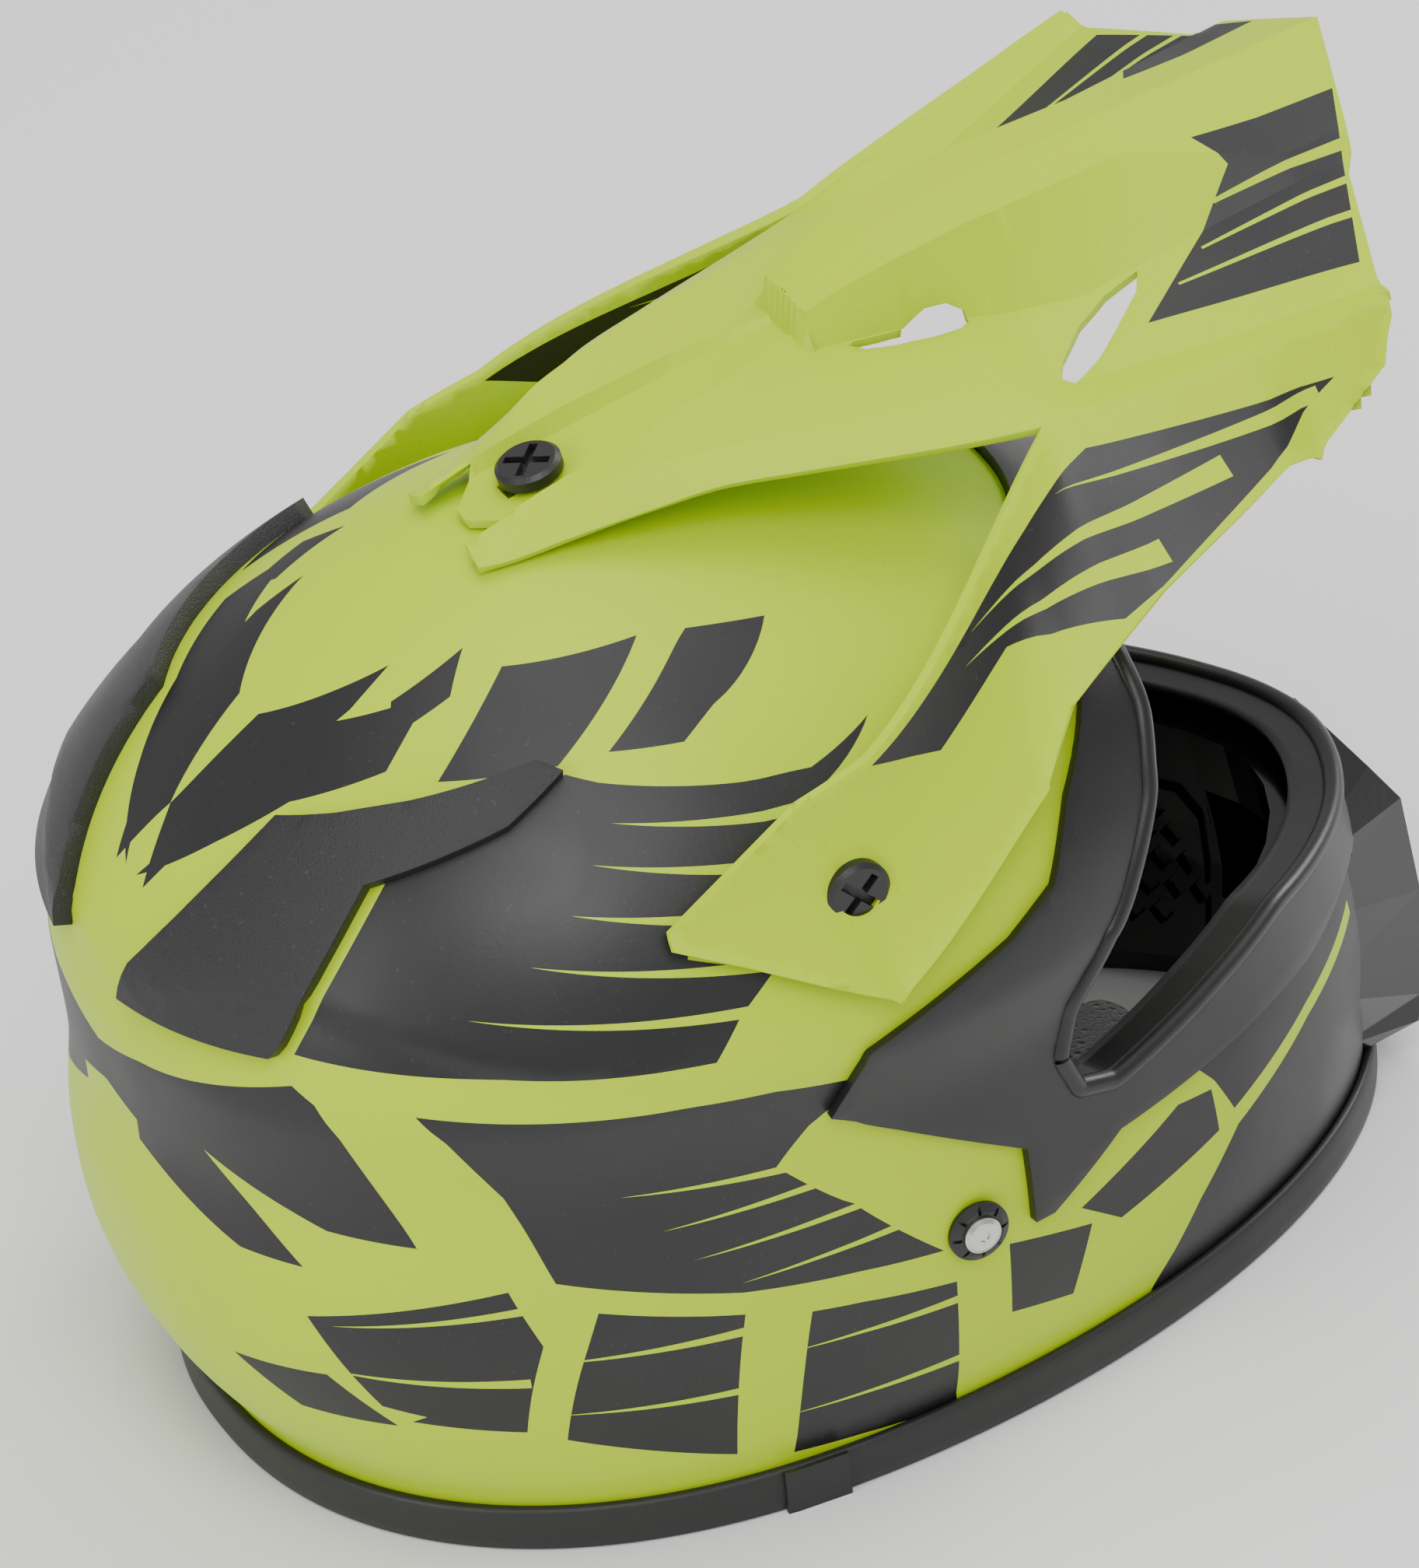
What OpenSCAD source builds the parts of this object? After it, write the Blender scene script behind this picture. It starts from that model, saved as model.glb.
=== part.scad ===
// Off-road motorcycle helmet with a tilting peak, worn with goggles.
// +Z is up, forward is -Y, the wearer's right is -X. The origin is on the plane that the bottom
// edge stands on, under the centre of the head opening.

/* [Outer shell] */
// Half of the outside width, at the belt line
half_w = 124; // [104:1:150]
// Half of the outside width, along the bottom edge
base_half_w = 111; // [96:1:118]
// Half of the outside width, at cheek height
cheek_half_w = 119; // [102:1:140]
// Origin to the back of the head
back_y = 153; // [135:1:180]
// Origin to the back of the bottom edge
base_back_y = 131; // [118:1:140]
// Origin to the front of the chin bar
chin_y = 206; // [190:1:225]
// Height of the crown
crown_z = 250; // [240:1:300]
// Height of the belt line, where the dome starts
belt_z = 140; // [125:1:150]
// Thickness of the shell
shell_wall = 3.5; // [2.8:0.1:4.4]

/* [Eye port] */
// Height of the brow edge
port_top_z = 203; // [196:1:208]
// Height of the lower edge, at the chin
port_floor_z = 99; // [92:1:104]
// Thickness of the moulding that frames the port
moulding_t = 2.6; // [2:0.1:3.2]

/* [Peak] */
// Height of the two side screws, on which the peak tilts
pivot_z = 182.5; // [176:0.5:190]
// Origin to the side screws, measured back
pivot_y = -10; // [-16:1:-4]
// Thickness of the peak
peak_wall = 2.6; // [2:0.1:3.2]
// Gap between the shell and the peak at the side screws
peak_gap = 2.4; // [2:0.1:4]
// Origin to the front tip of the peak
peak_tip_y = 216; // [200:1:235]

/* [Peak screws] */
// Diameter of the round heads
screw_head_d = 17.6; // [16:0.1:20]
// Height of the heads
screw_head_h = 3.8; // [3:0.1:5]
// Diameter of the smooth shank
screw_d = 6; // [5:0.1:7.2]
// Gap under the middle head, so that the tongue can slide
slide_gap = 1.6; // [1.4:0.1:2.2]

/* [Padding] */
// Thickness of the foam liner
foam_t = 30; // [24:1:36]
// Thickness of the comfort liner
comfort_t = 8; // [6:0.5:10]
// Half of the space between the two cheek pads
cheek_gap_half = 62; // [56:1:70]
// Thickness of the chin bar's inner wall
chin_liner_t = 14; // [10:1:20]

/* [Chin strap] */
// Width of the webbing
strap_w = 24; // [20:0.5:28]
// Thickness of the webbing
strap_t = 2; // [1.6:0.1:2.4]
// Diameter of the wire of the two D rings
ring_wire_d = 4; // [3.2:0.1:4.8]
// Diameter of the strap rivets
rivet_d = 6; // [5:0.1:7.2]

/* [Bottom edge trim] */
// Height of the rubber trim
trim_h = 13; // [11:0.5:14]
// Thickness of each wall of the rubber trim
trim_wall = 3; // [2.4:0.1:3.6]

/* [Hidden] */
$fn = 48;

skin_gap = 0.2;           // film of glue under a part that is bonded to the shell
fit_gap = 0.4;            // play between parts that are pushed together
run_gap = 0.08;           // radial play of a turning fit
turns = 48;               // points round the shell
dome_m = 1.7;             // roundness of the dome in side view, 2 is an ellipse
dome_y = 8;               // how far behind the origin the crown lies
front_y = 180;            // reach of the dome's front at the belt line
band_z = 14;              // the bottom edge stands straight up to here
seat_z = 4;               // the shell's bottom edge, inside the rubber trim

// --- the shell's outer surface -----------------------------------------------------------------

function half_at(z) = lookup(z, [
  [band_z, base_half_w], [24, base_half_w + 3], [60, cheek_half_w - 1], [75, cheek_half_w],
  [110, cheek_half_w], [belt_z, half_w]
]);
function back_at(z) = lookup(z, [
  [band_z, base_back_y], [34, base_back_y + 13], [60, back_y], [85, back_y + 2],
  [112, back_y - 1], [belt_z, back_y]
]);
function front_at(z) = lookup(z, [
  [band_z, chin_y - 2], [50, chin_y], [95, chin_y - 8], [belt_z, front_y]
]);
// how square the front is in plan, 2 is an ellipse
function front_n(z) = lookup(z, [
  [120, 1.85], [150, 2.05], [175, 2.4], [195, 2.75], [225, 2.3], [250, 2]
]);
back_n = 2.25;

function dome_h(f) = pow(sin(f), 2 / dome_m);
function dome_s(f) = pow(cos(f), 2 / dome_m);
// half width of the dome at a height
function side_at(z) =
  let (h = (z - belt_z) / (crown_z - belt_z)) half_w * pow(1 - pow(h, dome_m), 1 / dome_m);

function oval(a, w, b, f, yc, nf) =
  let (s = sin(a), c = cos(a), n = c > 0 ? back_n : nf)
  [
    -w * sign(s) * pow(abs(s), 2 / n),
    (c > 0 ? b - yc : f + yc) * sign(c) * pow(abs(c), 2 / n) + yc
  ];
function ring(z, inset) = [
  for (k = [0:turns - 1])
    let (p = oval(360 * k / turns, half_at(z) - inset, back_at(z) - inset, front_at(z) - inset, 0,
                  front_n(z)))
    [p[0], p[1], z]
];
function dome_ring(f, inset) =
  let (s = dome_s(f), z = belt_z + (crown_z - inset - belt_z) * dome_h(f), yc = dome_y * (1 - s))
  [
    for (k = [0:turns - 1])
      let (p = oval(360 * k / turns, (half_w - inset) * s, dome_y + (back_y - inset - dome_y) * s,
                    (front_y - inset + dome_y) * s - dome_y, yc, front_n(z)))
      [p[0], p[1], z]
  ];

side_rings = [34, 46, 60, 75, 95, 118];
dome_steps = [0, 12, 24, 35, 45, 54, 62, 70, 78, 84];

// solid inside the shell's surface, moved in by inset, from z0 up
module inside(inset, z0 = 0) {
  low = [for (z = concat([z0], z0 < band_z ? [band_z, 22] : [], side_rings)) if (z >= z0) z];
  rings = concat([for (z = low) ring(z, inset)], [for (f = dome_steps) dome_ring(f, inset)]);
  n = len(rings);
  top = [0, dome_y, crown_z - inset];
  bottom = [0, 0, z0];
  points = concat([for (r = rings) each r], [top, bottom]);
  polyhedron(points, concat(
    [for (j = [0:n - 2], k = [0:turns - 1]) let (m = (k + 1) % turns)
      each [[j * turns + k, (j + 1) * turns + k, (j + 1) * turns + m],
            [j * turns + k, (j + 1) * turns + m, j * turns + m]]],
    [for (k = [0:turns - 1]) [(n - 1) * turns + k, n * turns, (n - 1) * turns + (k + 1) % turns]],
    [for (k = [0:turns - 1]) [(k + 1) % turns, n * turns + 1, k]]
  ));
}

// skin between two insets
module skin(outer, inner, z0 = seat_z) {
  difference() {
    inside(outer, z0);
    inside(inner, z0 - 1);
  }
}

// one smooth mesh out of the children
module mesh() { resize([0, 0, 0]) children(); }

// outline in side view, as [y, z] points, carried right across the helmet
module across(outline, width = 320) {
  rotate([90, 0, 90]) linear_extrude(width, center = true) polygon(outline);
}

// outline of one side only, side = -1 is the wearer's right
module across_one(outline, side) {
  intersection() {
    across(outline);
    translate([side * 100, 0, 150]) cube([200, 600, 600], center = true);
  }
}

// --- eye port ----------------------------------------------------------------------------------

port_outline = [
  [-104, port_top_z], [-104, 188], [-99, 169], [-86, 147], [-67, 121], [-64, 106], [-69, 94],
  [-80, 92], [-118, port_floor_z], [-145, port_floor_z + 4], [-175, port_floor_z + 1],
  [-300, port_floor_z], [-300, port_top_z - 3], [-150, port_top_z - 3]
];
// side wings of the moulding, and the frame round the port
moulding_outline = [
  [6, 123], [-5, 141], [-49, 154], [-64, 162], [-74, 180], [-88, 196], [-96, port_top_z + 11],
  [-300, port_top_z + 16], [-300, port_floor_z - 15], [-156, port_floor_z - 19], [-80, 77],
  [-57, 63], [-51, 63], [-50, 87]
];
lip = 3;

module port_cut(grow = 0) {
  rotate([90, 0, 90]) linear_extrude(320, center = true) offset(delta = grow) polygon(port_outline);
}

module outer_shell() {
  color([0.80, 0.95, 0.05])
  difference() {
    mesh() difference() {
      skin(0, shell_wall);
      port_cut();
      translate([0, -chin_y, 54]) cube([44, 60, 36], center = true);
    }
    for (side = [-1, 1]) side_axis(side) translate([0, 0, -20]) cylinder(h = 60, r = insert_r + run_gap);
    middle_axis() translate([0, 0, -20]) cylinder(h = 30, r = insert_r + run_gap);
    for (side = [-1, 1]) strap_axis(side) translate([0, 0, -20]) cylinder(h = 40, d = rivet_d + 2 * run_gap);
  }
}

module eye_port_moulding() {
  color([0.10, 0.10, 0.11]) mesh() difference() {
    union() {
      intersection() {
        skin(-skin_gap - moulding_t, -skin_gap, 40);
        across(moulding_outline);
      }
      intersection() {
        skin(-skin_gap - moulding_t, shell_wall + 2, 40);
        port_cut(-skin_gap);
      }
    }
    port_cut(-skin_gap - lip);
  }
}

// --- padding -----------------------------------------------------------------------------------

foam_inset = shell_wall + fit_gap;
foam_outline = [
  [170, 50], [60, 50], [44, 100], [-48, 104], [-50, 126], [-70, 150], [-88, 190],
  [-92, port_top_z + 8], [-200, port_top_z + 8], [-200, 280], [170, 280]
];

module foam_liner() {
  color([0.16, 0.16, 0.17]) difference() {
    mesh() intersection() {
      skin(foam_inset, foam_inset + foam_t, 46);
      across(foam_outline);
    }
    for (side = [-1, 1]) side_axis(side) translate([0, 0, -26]) cylinder(h = 40, r = insert_flange_r + 1);
    middle_axis() translate([0, 0, -30]) cylinder(h = 40, r = insert_flange_r + 1);
  }
}

comfort_inset = foam_inset + foam_t + fit_gap;

module comfort_liner() {
  color([0.07, 0.07, 0.08]) mesh() intersection() {
    skin(comfort_inset, comfort_inset + comfort_t, 110);
    across([[170, 118], [40, 118], [-40, 150], [-74, 190], [-78, 280], [170, 280]]);
  }
}

chin_back_y = -118;

module chin_bar_liner() {
  color([0.05, 0.05, 0.06]) mesh() difference() {
    intersection() {
      skin(foam_inset, foam_inset + chin_liner_t, trim_h + 1);
      across([
        [chin_back_y, trim_h + 1], [chin_back_y, 86], [-142, 92], [-300, 92], [-300, trim_h + 1]
      ]);
    }
    translate([0, -chin_y, 54]) cube([44, 120, 36], center = true);
  }
}

pad_inset = shell_wall + strap_t + 1.6;
pad_outline = [
  [30, 24], [34, 60], [22, 92], [-20, 94], [-46, 97], [-74, 88], [-104, 86], [-112, 70],
  [-108, 34], [-96, 24]
];

module cheek_pad(side) {
  color([0.06, 0.06, 0.07]) mesh() difference() {
    intersection() {
      inside(pad_inset, trim_h + 6);
      across_one(pad_outline, side);
    }
    hull() {
      translate([side * (cheek_gap_half - 60), 0, 0]) cube([120, 400, 150], center = true);
      translate([side * (cheek_gap_half - 66), 0, 0]) cube([120, 400, 230], center = true);
    }
    band(strap_path, side, 1.2);
    strap_axis(side) translate([0, 0, -anchor_depth - 1.6]) cylinder(h = 20, r = strap_w / 2 + 1);
    for (p = stud_places) stud(side, p, 0.4);
  }
}
module cheek_pad_right() { cheek_pad(-1); }
module cheek_pad_left() { cheek_pad(1); }

module neck_roll() {
  color([0.06, 0.06, 0.07]) mesh() intersection() {
    skin(foam_inset, foam_inset + 22, trim_h + 2);
    across([[170, trim_h + 2], [40, trim_h + 2], [44, 46], [170, 46]]);
  }
}

// --- rubber trim -------------------------------------------------------------------------------

module flat_ring(outer, inner, z0, z1) {
  translate([0, 0, z0]) linear_extrude(z1 - z0) difference() {
    polygon([for (p = ring(band_z, outer)) [p[0], p[1]]]);
    polygon([for (p = ring(band_z, inner)) [p[0], p[1]]]);
  }
}
slot_gap = 0.15;
trim_out = -slot_gap - trim_wall;
trim_in = shell_wall + slot_gap + trim_wall;

module base_trim() {
  color([0.05, 0.05, 0.05]) difference() {
    flat_ring(trim_out, trim_in, 0, trim_h);
    flat_ring(-slot_gap, shell_wall + slot_gap, seat_z - 0.1, trim_h + 1);
  }
}

joiner_y = 16;
module trim_joiner() {
  color([0.04, 0.04, 0.04]) intersection() {
    flat_ring(trim_out - 1.4, trim_out - 0.1, 0, trim_h);
    translate([-base_half_w, joiner_y, 0]) cube([60, 18, 60], center = true);
  }
}

// --- peak --------------------------------------------------------------------------------------

shell_x = side_at(pivot_z);
// how much the shell leans inwards at the side screws
pivot_lean = atan((side_at(pivot_z - 0.5) - side_at(pivot_z + 0.5)));
arm_in_x = shell_x + peak_gap;
arm_x = arm_in_x + peak_wall + 0.4;

// top plate: cross sections from the tongue to the front edge, x and height above the crown
function floor_x(y) = lookup(y, [[-56, 4], [-30, 9], [0, 11], [40, 12]]);
function floor_z(y) = crown_z + lookup(y, [
  [-56, 22], [-50, 20.5], [-25, 13.4], [0, 7.4], [16, 4], [42, -1.6]
]);
function rail_x(y) = lookup(y, [[-56, 5.5], [-30, 11], [0, 13], [40, 14]]);
function rail_z(y) = crown_z + lookup(y, [[-56, 23.5], [-20, 16.8], [0, 12.7], [20, 7.8], [42, 1.5]]);
function spine_x(y) = lookup(y, [[-216, 34], [-187, 32], [-150, 16], [-110, 17], [-80, 15], [-59, 11]]);
function spine_z(y) = crown_z + lookup(y, [
  [-216, 48], [-187, 44.5], [-150, 50], [-105, 46], [-80, 40.5], [-65, 35], [-59, 32]
]);
function ridge_z(y) = crown_z + lookup(y, [
  [-216, 60], [-150, 53], [-105, 47.5], [-80, 41.5], [-65, 36], [-59, 33]
]);
function plate_x(y) = lookup(y, [
  [-216, 40], [-187, 38], [-150, 34], [-127, 32], [-110, 26], [-80, 18], [-59, 14]
]);
function plate_z(y) = crown_z + lookup(y, [
  [-216, 43.5], [-187, 39], [-150, 29.5], [-127, 23], [-110, 21.5], [-80, 22.5], [-59, 22]
]);
function fold_x(y) = lookup(y, [
  [-216, 84], [-187, 79], [-147, 66], [-125, 58], [-110, 54], [-96, 52], [-40, 38], [0, 26],
  [20, 19.5], [42, 16]
]);
function fold_z(y) = crown_z + lookup(y, [
  [-216, 33], [-187, 29], [-147, 20], [-110, 14.5], [-96, 16.5], [-60, 16.8], [0, 13.5],
  [20, 6], [42, -1]
]);
function edge_x(y) = lookup(y, [
  [-216, 90], [-187, 85], [-147, 78], [-110, 70], [-96, 66], [0, 34], [20, 27.3], [42, 21]
]);
function edge_z(y) = crown_z + lookup(y, [
  [-216, 36], [-187, 31], [-147, 22], [-110, 15], [-96, 12.5], [-40, 10.3], [-20, 9.7], [0, 5.4],
  [20, 0.8], [36, -2.8], [42, -3]
]);
function half_section(y) = y > -57.5
  ? [[0, floor_z(y)], [floor_x(y), floor_z(y)], [rail_x(y), rail_z(y)], [fold_x(y), fold_z(y)],
     [edge_x(y), edge_z(y)]]
  : [[0, ridge_z(y)], [spine_x(y), spine_z(y)], [plate_x(y), plate_z(y)], [fold_x(y), fold_z(y)],
     [edge_x(y), edge_z(y)]];
function section(y) = let (h = half_section(y))
  concat([for (i = [4:-1:1]) [-h[i][0], y, h[i][1]]], [for (p = h) [p[0], y, p[1]]]);

// closed slab between two grids of points that have the same size
module slab(upper, lower) {
  nu = len(upper);
  nv = len(upper[0]);
  b = nu * nv;
  last = (nu - 1) * nv;
  polyhedron(concat([for (r = upper) each r], [for (r = lower) each r]), concat(
    [for (u = [0:nu - 2], v = [0:nv - 2]) let (p = u * nv + v)
      each [[p, p + nv + 1, p + nv], [p, p + 1, p + nv + 1],
            [b + p, b + p + nv, b + p + nv + 1], [b + p, b + p + nv + 1, b + p + 1]]],
    [for (v = [0:nv - 2]) each [[v, b + v + 1, v + 1], [v, b + v, b + v + 1],
      [last + v, last + v + 1, b + last + v + 1], [last + v, b + last + v + 1, b + last + v]]],
    [for (u = [0:nu - 2]) let (p = u * nv, q = p + nv - 1)
      each [[p, b + p + nv, b + p], [p, p + nv, b + p + nv],
            [q, b + q + nv, q + nv], [q, b + q, b + q + nv]]]
  ));
}

plate_stations = [
  42, 36, 28, 20, 10, 0, -10, -20, -30, -40, -50, -56.5, -58.5, -65, -80, -96, -110, -127, -150,
  -158, -168, -181, -191, -205.5, -216
];

module top_plate() {
  upper = [for (y = plate_stations) section(y)];
  slab(upper, [for (r = upper) [for (p = r) p - [0, 0, peak_wall]]]);
}

// side arms: x of the outer face between a lower and an upper rail, both given over y
function low_x(y) = arm_x + lookup(y, [
  [-187, -28.5], [-181, -25], [-158, -20], [-149, -17], [-108, -10], [-78, -5], [-67, -2],
  [-14, 12.5], [24, 3.5], [40, -2]
]);
function low_z(y) = lookup(y, [
  [-187, crown_z + 27], [-181, crown_z + 13], [-158, crown_z - 4], [-149, crown_z - 2],
  [-108, pivot_z + 46.5], [-78, pivot_z + 26.5], [-67, pivot_z + 7], [-14, pivot_z - 29],
  [24, pivot_z - 9], [40, pivot_z - 1.5]
]);
// the arm's upper rail lies inside the plate, halfway through its thickness
bite = 1.6;
function arm_lean(y) = y < -95
  ? (edge_z(y) - fold_z(y)) / (edge_x(y) - fold_x(y)) : lookup(y, [[-96, -0.29], [-70, 0]]);
function top_x(y) = y < -95 ? edge_x(y) - bite : lookup(y, [
  [-96, 64.4], [-18, arm_x - 5], [5, arm_x - 4], [40, arm_x - 4]
]);
function top_z(y) = y < -95 ? edge_z(y) - bite * arm_lean(y) - peak_wall / 2 : lookup(y, [
  [-96, crown_z + 11.6], [-18, pivot_z + 33.5], [2, pivot_z + 28], [40, pivot_z + 3.5]
]);
function hollow(y) = lookup(y, [[-67, 0.15], [-30, 1]]);
function arm_at(side, y, t) = [
  side * (low_x(y) + (top_x(y) - low_x(y)) * t * (1 + hollow(y) * (1 - t))),
  y,
  low_z(y) + (top_z(y) - low_z(y)) * t
];
arm_stations = [
  40, 32, 24, 12, 2, -6, -14, -24, -38, -52, -67, -80, -96, -110, -127, -150, -158, -168, -181, -184.6
];

module arm(side) {
  outer = [for (y = arm_stations) [for (t = [0:0.2:1]) arm_at(side, y, t)]];
  inner = [for (y = arm_stations) [for (t = [0:0.2:1])
    arm_at(side, y, t) - peak_wall * [side, 0, t * arm_lean(y)]]];
  if (side < 0) slab(outer, inner);
  else slab(inner, outer);
}

// straight prism through the peak, outline in plan, on both sides
module plan_cut(outline) {
  for (side = [-1, 1]) scale([side, 1, 1])
    translate([0, 0, crown_z - 20]) linear_extrude(90) polygon(outline);
}

module peak_shape() {
  difference() {
    union() {
      top_plate();
      arm(-1);
      arm(1);
    }
    // front edge, with its small steps
    translate([0, 0, crown_z]) linear_extrude(100) polygon([
      [0, -peak_tip_y], [38, -peak_tip_y + 12.5], [42, -peak_tip_y + 16], [77, -peak_tip_y + 28],
      [86, -peak_tip_y + 29.5], [120, -peak_tip_y + 29.5], [120, -300], [-120, -300],
      [-120, -peak_tip_y + 29.5], [-86, -peak_tip_y + 29.5], [-77, -peak_tip_y + 28],
      [-42, -peak_tip_y + 16], [-38, -peak_tip_y + 12.5]
    ]);
    // pointed end of the tongue, between the rails
    translate([0, 0, crown_z - 30]) linear_extrude(60)
      polygon([[-13.2, 27], [-3, 36.5], [3, 36.5], [13.2, 27], [13.2, 60], [-13.2, 60]]);
    plan_cut([[14, -63], [16.5, -76], [15.5, -92], [20, -100], [24, -92], [21, -70]]);
    plan_cut([[34, -147], [36, -126], [50.5, -108.4], [57, -112.6]]);
  }
}

slot_travel = [5.6, 3];   // how far the tongue slides forward and back
module peak() {
  color([0.80, 0.95, 0.05]) difference() {
    union() {
      mesh() peak_shape();
      for (side = [-1, 1]) difference() {
        side_axis(side)
          translate([0, 0, peak_gap]) cylinder(h = arm_x - arm_in_x + 0.2, r = screw_head_d / 2 + 2);
        translate([side * (shell_x + 1.3), pivot_y, pivot_z]) rotate([0, -side * pivot_lean, 0])
          translate([-side * 30, 0, 0]) cube([60, 60, 60], center = true);
      }
    }
    for (side = [-1, 1]) side_axis(side) {
      translate([0, 0, -1]) cylinder(h = 20, r = shoulder_r + run_gap);
      translate([0, 0, arm_x - shell_x + 0.1]) cylinder(h = 20, r = screw_head_d / 2 + 0.8);
    }
    middle_axis() translate([-screw_d / 2 - 0.4, -screw_d / 2 - slot_travel[1], -6])
      cube([screw_d + 0.8, screw_d + slot_travel[0] + slot_travel[1], 12]);
  }
}

// --- peak screws and their inserts -------------------------------------------------------------

insert_r = 5.4;
insert_flange_r = 8.5;
shoulder_r = 5;
insert_reach = 13.5;         // how far the shank goes below the shell's surface
middle_y = 16;
middle_lift = 4;          // top of the tongue above the crown, at the screw
middle_tilt = -12;
floor_to_shell = 4.6;     // along the screw's axis

// local +Z points out of the shell, along the screw; z = 0 is the shell's surface
module side_axis(side) {
  translate([side * shell_x, pivot_y, pivot_z]) rotate([0, side * 90, 0]) children();
}
// z = 0 is the top of the tongue
module middle_axis() {
  translate([0, middle_y, crown_z + middle_lift]) rotate([middle_tilt, 0, 0]) children();
}

// round head with a crossed recess, seated at z = 0
module screw_head() {
  difference() {
    union() {
      cylinder(h = screw_head_h - 1, d = screw_head_d);
      translate([0, 0, screw_head_h - 1]) cylinder(h = 1, d1 = screw_head_d, d2 = screw_head_d - 2.4);
    }
    for (a = [45, 135]) rotate([0, 0, a])
      translate([0, 0, screw_head_h]) cube([screw_head_d - 5, 2.4, 4.4], center = true);
  }
}

module side_screw(side) {
  color([0.06, 0.06, 0.06]) side_axis(side) {
    translate([0, 0, arm_x - shell_x + 0.6]) screw_head();
    translate([0, 0, 0.8]) cylinder(h = arm_x - shell_x, r = shoulder_r);
    translate([0, 0, -insert_reach]) cylinder(h = insert_reach + 1, d = screw_d);
  }
}
module side_screw_right() { side_screw(-1); }
module side_screw_left() { side_screw(1); }

module centre_screw() {
  color([0.06, 0.06, 0.06]) middle_axis() {
    translate([0, 0, slide_gap]) screw_head();
    translate([0, 0, -floor_to_shell - insert_reach])
      cylinder(h = floor_to_shell + insert_reach + slide_gap + 0.2, d = screw_d);
  }
}

module insert() {
  difference() {
    union() {
      translate([0, 0, -insert_reach + 1]) cylinder(h = insert_reach - 0.8, r = insert_r);
      translate([0, 0, -insert_reach + 1]) cylinder(h = 1.6, r = insert_flange_r);
    }
    translate([0, 0, -insert_reach - 1]) cylinder(h = insert_reach + 4, r = screw_d / 2 + run_gap);
  }
}
module screw_inserts() {
  color([0.75, 0.65, 0.35]) {
    for (side = [-1, 1]) side_axis(side) insert();
    middle_axis() translate([0, 0, -floor_to_shell]) insert();
  }
}

// --- vents and grilles -------------------------------------------------------------------------

vent_face = [50, 124];    // tilt and turn of the direction that a rear vent faces
vent_outline = [
  [-115, 33], [-113, 36], [-98, 30], [-75, 1], [-31, -15], [-35, -64], [-85, -30]
];
vent_t = 5;

module rear_vent(side) {
  color([0.08, 0.08, 0.09]) mesh() intersection() {
    skin(-skin_gap - vent_t, -skin_gap, 120);
    scale([-side, 1, 1]) rotate([0, vent_face[0], vent_face[1]])
      linear_extrude(400) polygon(vent_outline);
  }
}
module rear_vent_right() { rear_vent(-1); }
module rear_vent_left() { rear_vent(1); }

nose_reach = 10;          // how far the nose cover stands in front of the chin bar
// outlines of the nose cover in plan: height, front, half width at the front, side corner, its y
nose_levels = [
  [trim_h + 0.6, 5, 30, 36, 26], [trim_h + 9, 6, 30, 40, 26], [52, nose_reach, 26, 56, 40], [80, nose_reach - 2, 22, 60, 48],
  [92, 0, 20, 58, 48]
];
module nose_cover() {
  color([0.03, 0.03, 0.03]) mesh() difference() {
    for (i = [0:3]) hull() for (l = [nose_levels[i], nose_levels[i + 1]])
      translate([0, 0, l[0]]) linear_extrude(0.4) polygon([
        [-l[2], -chin_y - l[1]], [l[2], -chin_y - l[1]], [l[3], -chin_y + l[4]],
        [0, -chin_y + l[4]], [-l[3], -chin_y + l[4]]
      ]);
    inside(-skin_gap, 2);
    intersection() {
      inside(-2 * skin_gap - moulding_t, 40);
      rotate([90, 0, 90]) linear_extrude(320, center = true) offset(delta = fit_gap) polygon(moulding_outline);
    }
    translate([0, -chin_y, 54]) cube([40, 80, 32], center = true);
  }
}

module nose_mesh() {
  color([0.10, 0.10, 0.10]) translate([0, -chin_y - 1, 54]) difference() {
    cube([39, 1.6, 31], center = true);
    for (i = [-3:3]) translate([i * 5, 0, 0]) cube([3, 4, 25], center = true);
  }
}

grille_face = 14;         // how far the grilles turn from straight ahead
grille_z = 46;
module chin_grille(side) {
  color([0.04, 0.04, 0.04]) mesh() difference() {
    intersection() {
      skin(foam_inset + chin_liner_t + 0.2, foam_inset + chin_liner_t + 2, 20);
      rotate([0, 0, side * grille_face]) translate([0, -80, grille_z]) rotate([90, 0, 0])
        linear_extrude(160) difference() {
          polygon([[-19, -22], [19, -22], [19, 24], [-14, 24], [-19, 16]]);
          for (i = [-2:2], j = [-2:2]) if (abs(i) + abs(j) < 4)
            translate([i * 7 + (j % 2) * 3.5, j * 8.5]) scale([0.72, 1]) circle(d = 9, $fn = 4);
        }
    }
    plug(side, 0.6);
  }
}
module chin_grille_right() { chin_grille(-1); }
module chin_grille_left() { chin_grille(1); }

// the plug stands on the chin bar's inner wall, at a direction from the middle, facing square off it
plug_turn = 21;
plug_face = 55;
plug_z = 42;
module plug(side, grow = 0) {
  w = half_at(plug_z) - foam_inset - chin_liner_t;
  f = front_at(plug_z) - foam_inset - chin_liner_t;
  n = front_n(plug_z);
  r = pow(pow(sin(plug_turn) / w, n) + pow(cos(plug_turn) / f, n), -1 / n);
  translate([side * r * sin(plug_turn), -r * cos(plug_turn), plug_z]) rotate([0, 0, side * plug_face])
    rotate([90, 0, 0]) translate([0, 0, -4.8 - grow]) cylinder(h = 4 + 2 * grow, r = 7 + grow);
}
module grille_plugs() {
  color([0.04, 0.04, 0.04]) for (side = [-1, 1]) plug(side);
}

// --- chin strap --------------------------------------------------------------------------------

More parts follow.
